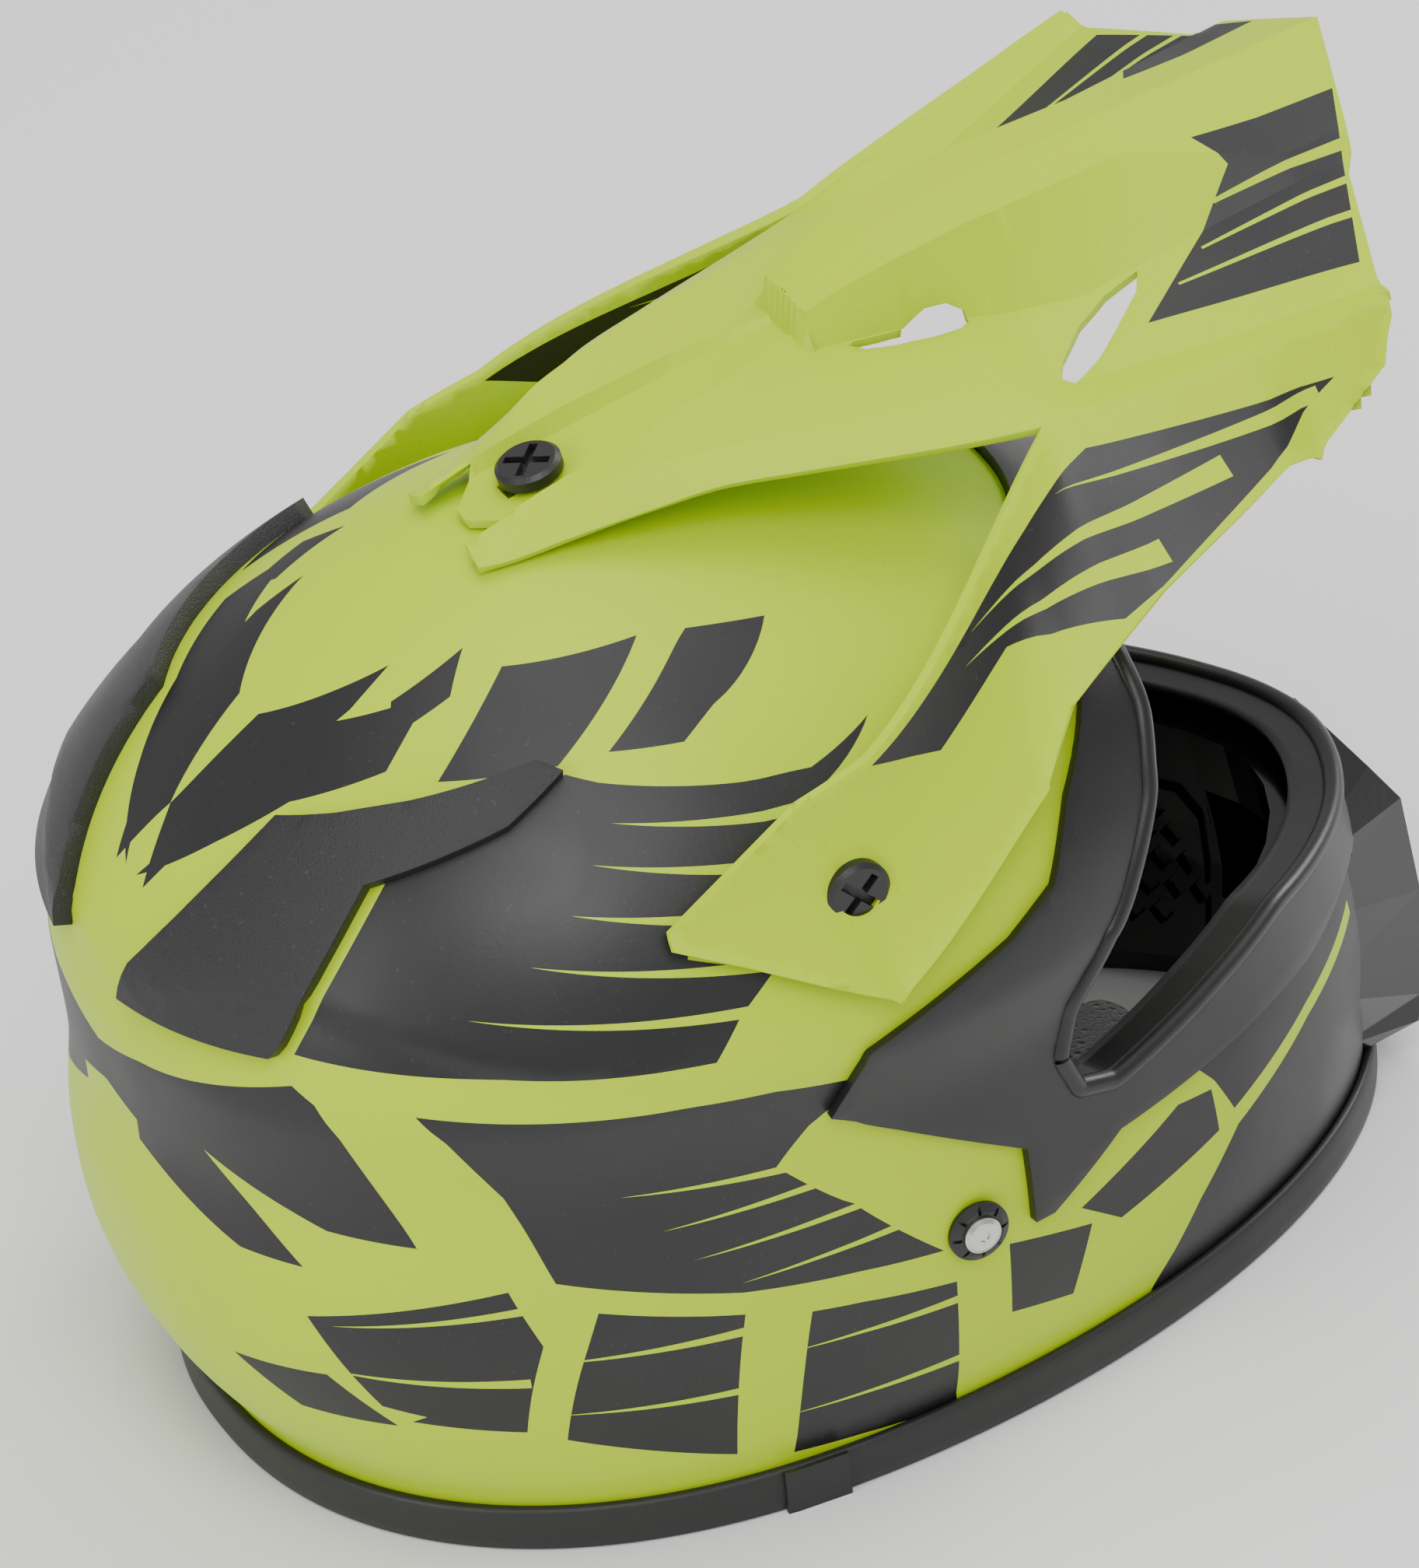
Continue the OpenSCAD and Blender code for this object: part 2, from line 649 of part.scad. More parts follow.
strap_y = -34;
rivet_z = 69;
rivet_x = half_at(rivet_z) * 0.981;
washer_lift = 1.3;        // under the washer, where the shell curves away
strap_gap = 2.4;          // between the shell and the webbing, where the shell curves away
anchor_depth = shell_wall + strap_gap + strap_t + 1.4;
module strap_axis(side) {
  translate([side * rivet_x, strap_y, rivet_z]) rotate([0, side * 90, 0]) children();
}

module strap_rivets() {
  color([0.80, 0.80, 0.78]) for (side = [-1, 1]) strap_axis(side) {
    translate([0, 0, washer_lift + 2.5]) difference() {
      union() {
        cylinder(h = 0.8, d = 10.4);
        translate([0, 0, 0.8]) cylinder(h = 0.8, d1 = 10.4, d2 = 8);
      }
      translate([0, 0, 1.2]) cylinder(h = 2, d = 3);
    }
    translate([0, 0, -anchor_depth - 1.2]) cylinder(h = anchor_depth + washer_lift + 3.9, d = rivet_d);
  }
}

module rivet_washers() {
  color([0.05, 0.05, 0.05]) for (side = [-1, 1]) strap_axis(side) difference() {
    union() {
      translate([0, 0, washer_lift]) cylinder(h = 1.2, d = 17);
      translate([0, 0, washer_lift + 1.2]) cylinder(h = 1.2, d1 = 17, d2 = 13);
    }
    cylinder(h = 9, d = rivet_d + 0.3);
    for (a = [0:45:315]) rotate([0, 0, a]) translate([7.4, 0, washer_lift + 2.1])
      cube([3.4, 0.9, 1.4], center = true);
  }
}

module strap_anchors() {
  color([0.60, 0.60, 0.62]) for (side = [-1, 1]) strap_axis(side)
    translate([0, 0, -anchor_depth]) difference() {
      translate([-8, -strap_w / 2 + 3, 0]) cube([16, strap_w - 6, 1.2]);
      translate([0, 0, -1]) cylinder(h = 4, d = rivet_d + 0.2);
    }
}

// strip of even thickness along a path of [x, z] points
function turn_at(path, i) =
  let (a = path[max(i - 1, 0)], b = path[min(i + 1, len(path) - 1)], d = b - a) [-d[1], d[0]] / norm(d);
function strip(path, t) = concat(
  [for (i = [0:len(path) - 1]) path[i] + turn_at(path, i) * t / 2],
  [for (i = [len(path) - 1:-1:0]) path[i] - turn_at(path, i) * t / 2]
);
module band(path, side, grow = 0) {
  scale([side, 1, 1]) translate([0, strap_y + strap_w / 2 + grow, 0]) rotate([90, 0, 0])
    linear_extrude(strap_w + 2 * grow) polygon(strip(path, strap_t + 2 * grow));
}

hang_x = cheek_gap_half - 4;
wall_x = rivet_x - shell_wall - strap_t / 2 - strap_gap;
foot_x = base_half_w - 10.5;
// from the rivet down behind the cheek pad, under it, and up its inner face
strap_path = [
  [wall_x, rivet_z + 10], [wall_x, rivet_z - 6], [wall_x - 2.2, 44], [foot_x + 3.2, 26],
  [foot_x + 1, 18.5], [foot_x - 5, 15], [foot_x - 12, 14], [hang_x + 14, 14], [hang_x + 5, 15.5],
  [hang_x + 1, 20], [hang_x, 27]
];
long_end_z = 82;
loop_z = 50;
loop_pitch = 7;

module strap_right() {
  color([0.07, 0.07, 0.07]) difference() {
    band(concat(strap_path, [[hang_x, long_end_z]]), -1);
    strap_axis(-1) translate([0, 0, -20]) cylinder(h = 30, d = rivet_d + 0.2);
  }
}

module strap_left() {
  bore_r = ring_wire_d / 2 + run_gap;
  wall_r = bore_r + 1.5;
  color([0.07, 0.07, 0.07]) difference() {
    union() {
      band(concat(strap_path, [[hang_x, loop_z - 1]]), 1);
      translate([hang_x, strap_y + strap_w / 2, loop_z]) rotate([90, 0, 0]) cylinder(h = strap_w, r = wall_r);
      translate([hang_x, strap_y + strap_w / 2, loop_z + loop_pitch])
        rotate([90, 0, 0]) cylinder(h = strap_w, r = wall_r);
      translate([hang_x - 1, strap_y - strap_w / 2, loop_z]) cube([2, strap_w, loop_pitch]);
    }
    strap_axis(1) translate([0, 0, -20]) cylinder(h = 30, d = rivet_d + 0.2);
    for (z = [loop_z, loop_z + loop_pitch]) translate([hang_x, strap_y + strap_w, z])
      rotate([90, 0, 0]) cylinder(h = 2 * strap_w, r = bore_r);
  }
}

// D ring: a straight bar along Y with a bow that hangs from it
ring_half_w = strap_w / 2 + ring_wire_d / 2 + 1;
ring_drop = 9;
module d_ring(z, lean) {
  color([0.78, 0.78, 0.80]) translate([hang_x, strap_y, z]) rotate([0, lean, 0]) {
    rotate([90, 0, 0]) cylinder(h = 2 * ring_half_w, d = ring_wire_d, center = true);
    for (s = [-1, 1]) translate([0, s * ring_half_w, 0]) {
      sphere(d = ring_wire_d);
      translate([0, 0, -ring_drop]) cylinder(h = ring_drop, d = ring_wire_d);
    }
    translate([0, 0, -ring_drop]) rotate([0, -90, 0]) rotate([0, 0, 90])
      rotate_extrude(angle = 180) translate([ring_half_w, 0]) circle(d = ring_wire_d);
  }
}
lower_lean = 14;
upper_lean = 38;
module d_ring_lower() { d_ring(loop_z, lower_lean); }
module d_ring_upper() { d_ring(loop_z + loop_pitch, upper_lean); }

module strap_snaps() {
  color([0.12, 0.12, 0.12]) for (z = [long_end_z - 9, 34])
    translate([-hang_x + strap_t / 2, strap_y, z]) rotate([0, 90, 0]) {
      cylinder(h = 2, d = 11);
      translate([0, 0, 2]) cylinder(h = 1.4, d = 6);
    }
}

stud_places = [[6, 40], [-76, 40], [-30, 84]];
stud_gap = 1.7;           // between the shell and the studs, where the shell curves away
module stud(side, p, grow = 0) {
  translate([side * (oval_x(p[0], p[1]) - shell_wall - stud_gap + grow), p[0], p[1]])
    rotate([0, -side * 90, 0]) cylinder(h = 2.4 + 2 * grow, d = 9 + 2 * grow);
}
module cheek_pad_studs() {
  color([0.12, 0.12, 0.12]) for (side = [-1, 1], p = stud_places) stud(side, p);
}
// half width of the shell at a place in side view
function oval_x(y, z) = let (n = y > 0 ? back_n : front_n(z), r = y > 0 ? back_at(z) : front_at(z))
  half_at(z) * pow(1 - pow(abs(y) / r, n), 1 / n);

outer_shell();
foam_liner();
chin_bar_liner();
comfort_liner();
cheek_pad_right();
cheek_pad_left();
neck_roll();
eye_port_moulding();
base_trim();
trim_joiner();
peak();
side_screw_right();
side_screw_left();
centre_screw();
screw_inserts();
rear_vent_right();
rear_vent_left();
nose_cover();
nose_mesh();
chin_grille_right();
chin_grille_left();
grille_plugs();
strap_rivets();
rivet_washers();
strap_anchors();
strap_right();
strap_left();
d_ring_lower();
d_ring_upper();
strap_snaps();
cheek_pad_studs();
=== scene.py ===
import math

import bmesh
import bpy
import numpy as np
from bpy.props import FloatProperty, FloatVectorProperty, PointerProperty
from mathutils import Matrix, Vector
from mathutils.geometry import delaunay_2d_cdt


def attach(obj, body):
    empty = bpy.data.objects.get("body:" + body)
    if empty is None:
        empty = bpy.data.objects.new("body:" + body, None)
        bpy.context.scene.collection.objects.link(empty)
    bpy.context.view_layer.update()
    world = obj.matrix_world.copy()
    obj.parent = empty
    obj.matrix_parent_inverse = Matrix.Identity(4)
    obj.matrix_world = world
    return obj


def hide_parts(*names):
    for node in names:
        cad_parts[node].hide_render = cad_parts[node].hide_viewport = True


bl_info = {
    "name": "Off-road helmet",
    "version": (1, 0, 0),
    "blender": (4, 5, 0),
    "location": "View3D > Sidebar > Helmet",
    "description": "Builds an off-road motorcycle helmet with a tilting peak round its CAD frame",
    "category": "Add Mesh",
}

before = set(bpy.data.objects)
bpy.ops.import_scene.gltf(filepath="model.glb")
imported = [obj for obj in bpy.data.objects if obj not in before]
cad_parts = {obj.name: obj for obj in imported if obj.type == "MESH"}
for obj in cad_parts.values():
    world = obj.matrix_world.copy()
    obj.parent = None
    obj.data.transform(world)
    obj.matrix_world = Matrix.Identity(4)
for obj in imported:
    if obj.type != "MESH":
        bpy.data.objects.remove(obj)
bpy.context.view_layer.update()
MM = 0.001


HALF_W, BELT_Z, CROWN_Z, BACK_Y, FRONT_Y = 124.0, 140.0, 250.0, 153.0, 180.0
BASE_W, CHEEK_W, BASE_BACK, CHIN_Y, BAND_Z, SEAT_Z = 111.0, 119.0, 131.0, 206.0, 14.0, 4.0
DOME_M, DOME_Y, BACK_N = 1.7, 8.0, 2.25
RISE = 170.0
TOP = BELT_Z + RISE
GIRTH = 2.36


def curve(at, *knots):
    """Smooth curve through (place, value) knots: a cubic between each two, with the slope at a knot taken
    from its neighbours and never steeper than three times the flatter of the two chords, so that it doesn't
    overshoot."""
    x, y = np.array(sorted(knots), float).T
    at = np.clip(np.asarray(at, float), x[0], x[-1])
    chord = np.diff(y) / np.diff(x)
    slope = np.concatenate([chord[:1], (chord[1:] + chord[:-1]) / 2, chord[-1:]])
    low = np.minimum(np.abs(chord[1:]), np.abs(chord[:-1])) * 3 * (chord[1:] * chord[:-1] > 0)
    slope[1:-1] = np.clip(slope[1:-1], -low, low)
    i = np.clip(np.searchsorted(x, at, side="right") - 1, 0, len(x) - 2)
    d = x[i + 1] - x[i]
    t = (at - x[i]) / d
    return (y[i] * (1 + 2 * t) * (1 - t) ** 2 + y[i + 1] * t * t * (3 - 2 * t)
            + d * t * (1 - t) * (slope[i] * (1 - t) - slope[i + 1] * t))


def reach(z):
    """Half width, back and front of the shell below the belt."""
    w = curve(z, (BAND_Z, BASE_W), (24, BASE_W + 3), (60, CHEEK_W - 1), (75, CHEEK_W), (110, CHEEK_W),
              (BELT_Z, HALF_W))
    b = curve(z, (BAND_Z, BASE_BACK), (34, BASE_BACK + 13), (60, BACK_Y), (85, BACK_Y + 2), (112, BACK_Y - 1),
              (BELT_Z, BACK_Y))
    f = curve(z, (BAND_Z, CHIN_Y - 2), (50, CHIN_Y), (95, CHIN_Y - 8), (BELT_Z, FRONT_Y))
    return w, b, f


def front_n(z):
    return curve(z, (120, 1.85), (150, 2.05), (175, 2.4), (195, 2.75), (225, 2.3), (250, 2.0))


def shell(turn, up, lift=0.0):
    """The shell's surface, lift outwards: turn is the angle round it in degrees, 0 at the back and 90 on
    the wearer's right; up is the height below the belt and an arc up the dome above it. Each level is half
    of one superellipse for the back and half of another for the front."""
    turn, up = np.radians(turn), np.asarray(up, float)
    z = np.clip(up, None, BELT_Z)
    phi = np.clip((up - BELT_Z) / RISE, 0, 1) * np.pi / 2
    s, h = np.cos(phi) ** (2 / DOME_M), np.sin(phi) ** (2 / DOME_M)
    w, b, f = reach(z)
    dome = up > BELT_Z
    z = np.where(dome, BELT_Z + (CROWN_Z + lift - BELT_Z) * h, z)
    mid = np.where(dome, DOME_Y * (1 - s), 0.0)
    w = (w + lift) * s
    b = np.where(dome, DOME_Y + (b + lift - DOME_Y) * s, b + lift) - mid
    f = np.where(dome, (f + lift + DOME_Y) * s - DOME_Y, f + lift) + mid
    sin, cos = np.sin(turn), np.cos(turn)
    n = np.where(cos > 0, BACK_N, front_n(z))
    x = -w * np.sign(sin) * np.abs(sin) ** (2 / n)
    y = np.where(cos > 0, b, f) * np.sign(cos) * np.abs(cos) ** (2 / n) + mid
    return np.stack([x, y, z + 0 * x], -1)


def on_side(y, z):
    """(turn, up) of the place on the wearer's right that has this y and z."""
    y, z = np.asarray(y, float), np.asarray(z, float)
    h = np.clip((z - BELT_Z) / (CROWN_Z - BELT_Z), 0, 1)
    phi = np.arcsin(h ** (DOME_M / 2))
    s = np.cos(phi) ** (2 / DOME_M)
    _, b, f = reach(np.minimum(z, BELT_Z))
    dome = z > BELT_Z
    mid = np.where(dome, DOME_Y * (1 - s), 0.0)
    b = np.where(dome, DOME_Y + (b - DOME_Y) * s, b) - mid
    f = np.where(dome, (f + DOME_Y) * s - DOME_Y, f) + mid
    back = y > mid
    r = np.clip(np.abs(y - mid) / np.where(back, b, f), 0, 1)
    c = r ** (np.where(back, BACK_N, front_n(z)) / 2)
    turn = np.degrees(np.arccos(np.where(back, c, -c)))
    return turn, np.where(dome, BELT_Z + phi / (np.pi / 2) * RISE, z)


# ---- peak
PIVOT_Y, PIVOT_Z = -10.0, 182.5
PEAK_T = 2.6


def line(at, *knots):
    """Straight lines through (place, value) knots."""
    x, y = np.array(sorted(knots), float).T
    return np.interp(at, x, y)


def plate_lines(y):
    """x and height of the peak's five lines at y: middle, inner, plate, fold and edge. Behind the step the
    first two are the channel's floor, in front of it they are the spine."""
    back = y > -57.5
    floor_x = line(y, (-56, 4), (-30, 9), (0, 11), (40, 12))
    floor_z = line(y, (-56, 22), (-50, 20.5), (-25, 13.4), (0, 7.4), (16, 4), (42, -1.6))
    rail_x = line(y, (-56, 5.5), (-30, 11), (0, 13), (40, 14))
    rail_z = line(y, (-56, 23.5), (-20, 16.8), (0, 12.7), (20, 7.8), (42, 1.5))
    spine_x = line(y, (-216, 34), (-187, 32), (-150, 16), (-110, 17), (-80, 15), (-59, 11))
    spine_z = line(y, (-216, 48), (-187, 44.5), (-150, 50), (-105, 46), (-80, 40.5), (-65, 35), (-59, 32))
    ridge_z = line(y, (-216, 60), (-150, 53), (-105, 47.5), (-80, 41.5), (-65, 36), (-59, 33))
    plate_x = line(y, (-216, 40), (-187, 38), (-150, 34), (-127, 32), (-110, 26), (-80, 18), (-59, 14))
    plate_z = line(y, (-216, 43.5), (-187, 39), (-150, 29.5), (-127, 23), (-110, 21.5), (-80, 22.5),
                   (-59, 22))
    fold_x = curve(y, (-216, 84), (-187, 79), (-147, 66), (-125, 58), (-110, 54), (-96, 52), (-40, 38),
                   (0, 26),
                   (20, 19.5), (42, 16))
    fold_z = curve(y, (-216, 33), (-187, 29), (-147, 20), (-110, 14.5), (-96, 16.5), (-60, 16.8), (0, 13.5),
                   (20, 6), (42, -1))
    xs = [0 * y, np.where(back, floor_x, spine_x), np.where(back, rail_x, plate_x), fold_x, edge_x(y)]
    zs = [np.where(back, floor_z, ridge_z), np.where(back, floor_z, spine_z), np.where(back, rail_z, plate_z),
          fold_z, edge_z(y)]
    return np.array(xs), CROWN_Z + np.array(zs)


def edge_x(y):
    return curve(y, (-216, 90), (-187, 85), (-147, 78), (-110, 70), (-96, 66), (0, 34), (20, 27.3), (42, 21))


def edge_z(y):
    return curve(y, (-216, 36), (-187, 31), (-147, 22), (-110, 15), (-96, 12.5), (-40, 10.3), (-20, 9.7),
                 (0, 5.4), (20, 0.8), (36, -2.8), (42, -3))


def plate(x, y, lift=0.0):
    """The peak's upper face over x and y: straight from each of its five lines to the next."""
    xs, zs = plate_lines(y)
    ax = np.abs(x)
    z = zs[0].copy()
    for i in range(4):
        t = np.clip((ax - xs[i]) / (xs[i + 1] - xs[i]), 0, 1)
        z = np.where(ax >= xs[i], zs[i] + (zs[i + 1] - zs[i]) * t, z)
    return np.stack([x, y, z + lift], -1)


SHELL_X = 124.0 * (1 - ((PIVOT_Z - 140) / 110) ** 1.7) ** (1 / 1.7)
ARM_X = SHELL_X + 2.4 + PEAK_T + 0.4


def arm_rails(y):
    """Lower rail x, z and upper rail x, z of a side arm at y."""
    low_x = ARM_X + curve(y, (-187, -28.5), (-181, -25), (-158, -20), (-149, -17), (-108, -10), (-78, -5),
                          (-67, -2),
                          (-14, 12.5), (24, 3.5), (40, -2))
    low_z = line(y, (-187, 277), (-181, 263), (-158, 246), (-149, 248), (-108, 229), (-78, 209), (-67, 189.5),
                 (-14, 153.5), (24, 173.5), (40, 181))
    top_x = np.where(y < -96, edge_x(y) - 0.3, curve(y, (-96, 65.7), (-18, ARM_X - 5), (5, ARM_X - 4),
                                                     (40, ARM_X - 4)))
    top_z = np.where(y < -96, CROWN_Z + edge_z(y) - 0.3,
                     line(y, (-96, 262.2), (-18, 216), (2, 210.5), (40, 186)))
    return low_x, low_z, top_x, top_z


def arm(y, t, lift=0.0):
    """A side arm's outer face on the wearer's right: t runs from the lower rail to the upper rail, and the
    face is hollowed out between them."""
    low_x, low_z, top_x, top_z = arm_rails(y)
    hollow = line(y, (-67, 0.15), (-30, 1))
    x = low_x + (top_x - low_x) * t * (1 + hollow * (1 - t)) + lift
    return np.stack([-x, y, low_z + (top_z - low_z) * t], -1)


# ---- making meshes

def new_piece(name, points, faces, material, body="helmet", sharp=32, weld=False, slot=None, inks=(),
              ink=None):
    """A piece from points in millimetres; faces are tuples of point numbers, turned outwards already. ink
    gives each face's finish, 0 for the material and k for the k-th of inks."""
    mesh = bpy.data.meshes.new(name)
    mesh.from_pydata((np.asarray(points, float).reshape(-1, 3) * MM).tolist(), [], faces)
    for m in (material, *inks):
        mesh.materials.append(m)
    if ink is not None:
        mesh.polygons.foreach_set("material_index", np.asarray(ink, np.int32))
    if weld:
        bm = bmesh.new()
        bm.from_mesh(mesh)
        bmesh.ops.remove_doubles(bm, verts=bm.verts, dist=2e-5)
        bmesh.ops.dissolve_degenerate(bm, edges=bm.edges, dist=1e-6)
        bm.to_mesh(mesh)
        bm.free()
    mesh.update()
    mesh.shade_smooth()
    mesh.set_sharp_from_angle(angle=math.radians(sharp))
    obj = bpy.data.objects.new(name, mesh)
    bpy.context.scene.collection.objects.link(obj)
    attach(obj, body)
    return obj


def thicken(obj, thick):
    """Gives a sheet its thickness, behind its face."""
    m = obj.modifiers.new("Thickness", "SOLIDIFY")
    m.thickness, m.offset, m.use_even_offset = thick * MM, -1.0, False
    return obj


def round_edges(obj, width, segments=2, angle=40):
    m = obj.modifiers.new("Round edges", "BEVEL")
    m.width, m.segments, m.limit_method, m.angle_limit = width * MM, segments, "ANGLE", math.radians(angle)
    m.harden_normals = False
    return obj


def grid_faces(rows, cols, wrap=False):
    """Quads of a grid, row by row; wrap joins its last column to the first."""
    r, c = np.meshgrid(np.arange(rows - 1), np.arange(cols if wrap else cols - 1), indexing="ij")
    n = (c + 1) % cols
    return np.stack([r * cols + c, r * cols + n, (r + 1) * cols + n, (r + 1) * cols + c],
                    -1).reshape(-1, 4).tolist()


def divide(loop, step, closed=True):
    """The points of a loop with more put in between, no further apart than step."""
    loop = np.asarray(loop, float)
    ends = np.roll(loop, -1, 0) if closed else loop[1:]
    out = [a + (b - a) * (np.arange(n) / n)[:, None]
           for a, b in zip(loop, ends) for n in [max(1, int(np.ceil(np.hypot(*(b - a)) / step)))]]
    return np.concatenate(out if closed else out + [loop[-1:]])


def soften(loop, times=2, closed=True):
    """Cuts each corner at a quarter and three quarters of its sides, times over, so that the loop runs
    round."""
    loop = np.asarray(loop, float)
    for _ in range(times):
        ends = np.roll(loop, -1, 0) if closed else loop[1:]
        start = loop if closed else loop[:-1]
        cut = np.stack([0.75 * start + 0.25 * ends, 0.25 * start + 0.75 * ends], 1).reshape(-1, 2)
        loop = cut if closed else np.concatenate([loop[:1], cut, loop[-1:]])
    return loop


def within(points, loop):
    """True for the points that lie inside a loop: an odd number of its sides is to their right."""
    x, y = points[:, :1], points[:, 1:]
    a, b = loop, np.roll(loop, -1, 0)
    spans = (a[:, 1] > y) != (b[:, 1] > y)
    rise = np.where(np.abs(b[:, 1] - a[:, 1]) < 1e-12, 1e-12, b[:, 1] - a[:, 1])
    return ((spans & (x < a[:, 0] + (y - a[:, 1]) * (b[:, 0] - a[:, 0]) / rise)).sum(1) % 2) == 1


def clear_of(points, edge, gap):
    """True for the points further than gap from every point of edge."""
    out = np.ones(len(points), bool)
    for part in np.array_split(np.arange(len(points)), max(1, len(points) // 2000)):
        d = points[part, None] - edge[None]
        out[part] = (d * d).sum(-1).min(1) > gap * gap
    return out


def cut_sheet(name, loop, place, material, step=4.0, holes=(), folds=(), prints=(), inks=(), inner=None,
              **kw):
    """A sheet cut to an outline in the plane and laid onto a surface: place gives the point of the surface,
    in millimetres, for each point of the plane. folds are lines of the plane that stay edges of the mesh.
    prints are (outline, k): the faces inside the outline take the k-th of inks, or the material again if k
    is 0."""
    rims = [divide(loop, step)] + [divide(h, step) for h in holes]
    lines = [divide(f, step, closed=False) for f in folds]
    lines += [divide(np.concatenate([p, p[:1]]), step, closed=False) for p, _ in prints]
    edge = np.concatenate(rims + lines)
    if inner is None:
        low, high = rims[0].min(0), rims[0].max(0)
        u, v = np.meshgrid(np.arange(low[0], high[0], step), np.arange(low[1], high[1], step))
        inner = np.stack([u.ravel() + 0.37 * step, v.ravel() + 0.41 * step], -1)
    keep = within(inner, rims[0])
    for r in rims[1:]:
        keep &= ~within(inner, r)
    inner = inner[keep]
    if len(inner):
        inner = inner[clear_of(inner, edge, 0.45 * step)]
    pairs, at = [], 0
    for r in rims:
        k = np.arange(len(r))
        pairs += np.stack([at + k, at + (k + 1) % len(r)], -1).tolist()
        at += len(r)
    for r in lines:
        k = np.arange(len(r) - 1)
        pairs += np.stack([at + k, at + k + 1], -1).tolist()
        at += len(r)
    flat = np.concatenate([edge, inner])
    verts, _, faces, *_ = delaunay_2d_cdt([Vector(p) for p in flat.tolist()], pairs, [], 0, 1e-5)
    uv = np.array([(v.x, v.y) for v in verts])
    tri = np.array(faces)
    mid = uv[tri].mean(1)
    good = within(mid, rims[0])
    for r in rims[1:]:
        good &= ~within(mid, r)
    tri = tri[good]
    a, b, c = uv[tri[:, 0]], uv[tri[:, 1]], uv[tri[:, 2]]
    area = (b[:, 0] - a[:, 0]) * (c[:, 1] - a[:, 1]) - (b[:, 1] - a[:, 1]) * (c[:, 0] - a[:, 0])
    tri = tri[np.abs(area) > 1e-9]
    mid, ink = uv[tri].mean(1), np.zeros(len(tri), int)
    for outline, k in prints:
        ink[within(mid, np.asarray(outline, float))] = k
    used = np.unique(tri)
    back = np.full(len(uv), -1)
    back[used] = np.arange(len(used))
    return new_piece(name, place(uv[used]), back[tri].tolist(), material, inks=inks, ink=ink, **kw)


def tube(name, path, radius, material, sides=12, closed=True, up=(0, 0, 1), **kw):
    """A round section carried along a path of points, square to it."""
    path = np.asarray(path, float)
    path = path[np.linalg.norm(path - np.roll(path, 1, 0), axis=1) > 1e-3]
    ahead = np.roll(path, -1, 0) - np.roll(path, 1, 0)
    if not closed:
        ahead[0], ahead[-1] = path[1] - path[0], path[-1] - path[-2]
    ahead /= np.linalg.norm(ahead, axis=1)[:, None]
    side = np.cross(ahead, np.asarray(up, float))
    side /= np.linalg.norm(side, axis=1)[:, None]
    top = np.cross(side, ahead)
    a = np.linspace(0, 2 * np.pi, sides, endpoint=False)
    r = np.broadcast_to(np.asarray(radius, float), (len(path),))
    across = np.cos(a)[:, None] * side[:, None] + np.sin(a)[:, None] * top[:, None]
    p = path[:, None] + r[:, None, None] * across
    if closed:
        p = np.concatenate([p, p[:1]])
    obj_faces = grid_faces(len(p), sides, wrap=True)
    if not closed:
        n = len(p)
        obj_faces += [list(range(sides))[::-1], [(n - 1) * sides + k for k in range(sides)]]
    return new_piece(name, p, obj_faces, material, weld=closed, **kw)


# ---- places on the shell, as (turn * GIRTH, up)

def on_shell(lift=0.0):
    return lambda uv: shell(uv[:, 0] / GIRTH, uv[:, 1], lift + crease(uv[:, 0] / GIRTH, uv[:, 1]))


def crease(turn, up):
    """How far the shell stands out along its belt crease: a step that falls off within 5 mm below the line
    and over 30 mm above it, and fades out towards the moulding."""
    side = np.abs((turn + 180) % 360 - 180)
    d = up - curve(side, (0, 163), (32, 181), (60, 163), (81, 149), (92, 138))
    high = 1.6 * (1 - curve(side, (72, 0), (95, 1)))
    return high * np.where(d > 0, np.exp(-d / 22), np.exp(-(d / 3.2) ** 2))


def cut_at(loop, x, keep):
    """The part of an outline on one side of x: each side of it that crosses x is cut there."""
    out = []
    for a, b in zip(loop, np.roll(loop, -1, 0)):
        ina, inb = (a[0] - x) * keep >= 0, (b[0] - x) * keep >= 0
        if ina:
            out.append(a)
        if ina != inb:
            out.append(a + (b - a) * (x - a[0]) / (b[0] - a[0]))
    return np.array(out)


def round_back(loop):
    """An outline that may cross the back's middle line, as outlines within one turn of the flat shell."""
    out = []
    for shift in (-360 * GIRTH, 0, 360 * GIRTH):
        part = np.array(loop, float) + [shift, 0]
        part = cut_at(part, 0, 1)
        part = cut_at(part, 360 * GIRTH, -1) if len(part) else part
        if len(part) > 2 and np.ptp(part[:, 0]) > 0.01:
            out.append(part)
    return out


def degrees_up(points):
    """(turn in degrees, up) pairs as places on the flat shell."""
    return np.array(points, float) * [GIRTH, 1.0]


def other_side(loop):
    """The same outline on the wearer's left."""
    return (np.array(loop, float) * [-1, 1] + [360 * GIRTH, 0])[::-1]


def side_line(points, steps=10):
    """A line given by y and z in side view, as places on the wearer's right of the flat shell."""
    p = np.concatenate([a + (b - a) * np.linspace(0, 1, steps, endpoint=False)[:, None]
                        for a, b in zip(np.array(points[:-1], float), np.array(points[1:], float))]
                       + [np.array(points[-1:], float)])
    turn, up = on_side(p[:, 0], p[:, 1])
    return np.stack([turn * GIRTH, up], -1)


def nose_reach(z):
    """y of the shell's middle line at the front, at a height."""
    up = on_side(-120.0, z)[1]
    return float(shell(180.0, up)[1])


def both_sides(right):
    """Closes an outline that begins and ends on the front's middle line with its own reflection."""
    left = np.array(right) * [-1, 1] + [360 * GIRTH, 0]
    return np.concatenate([right, left[::-1][1:-1]])


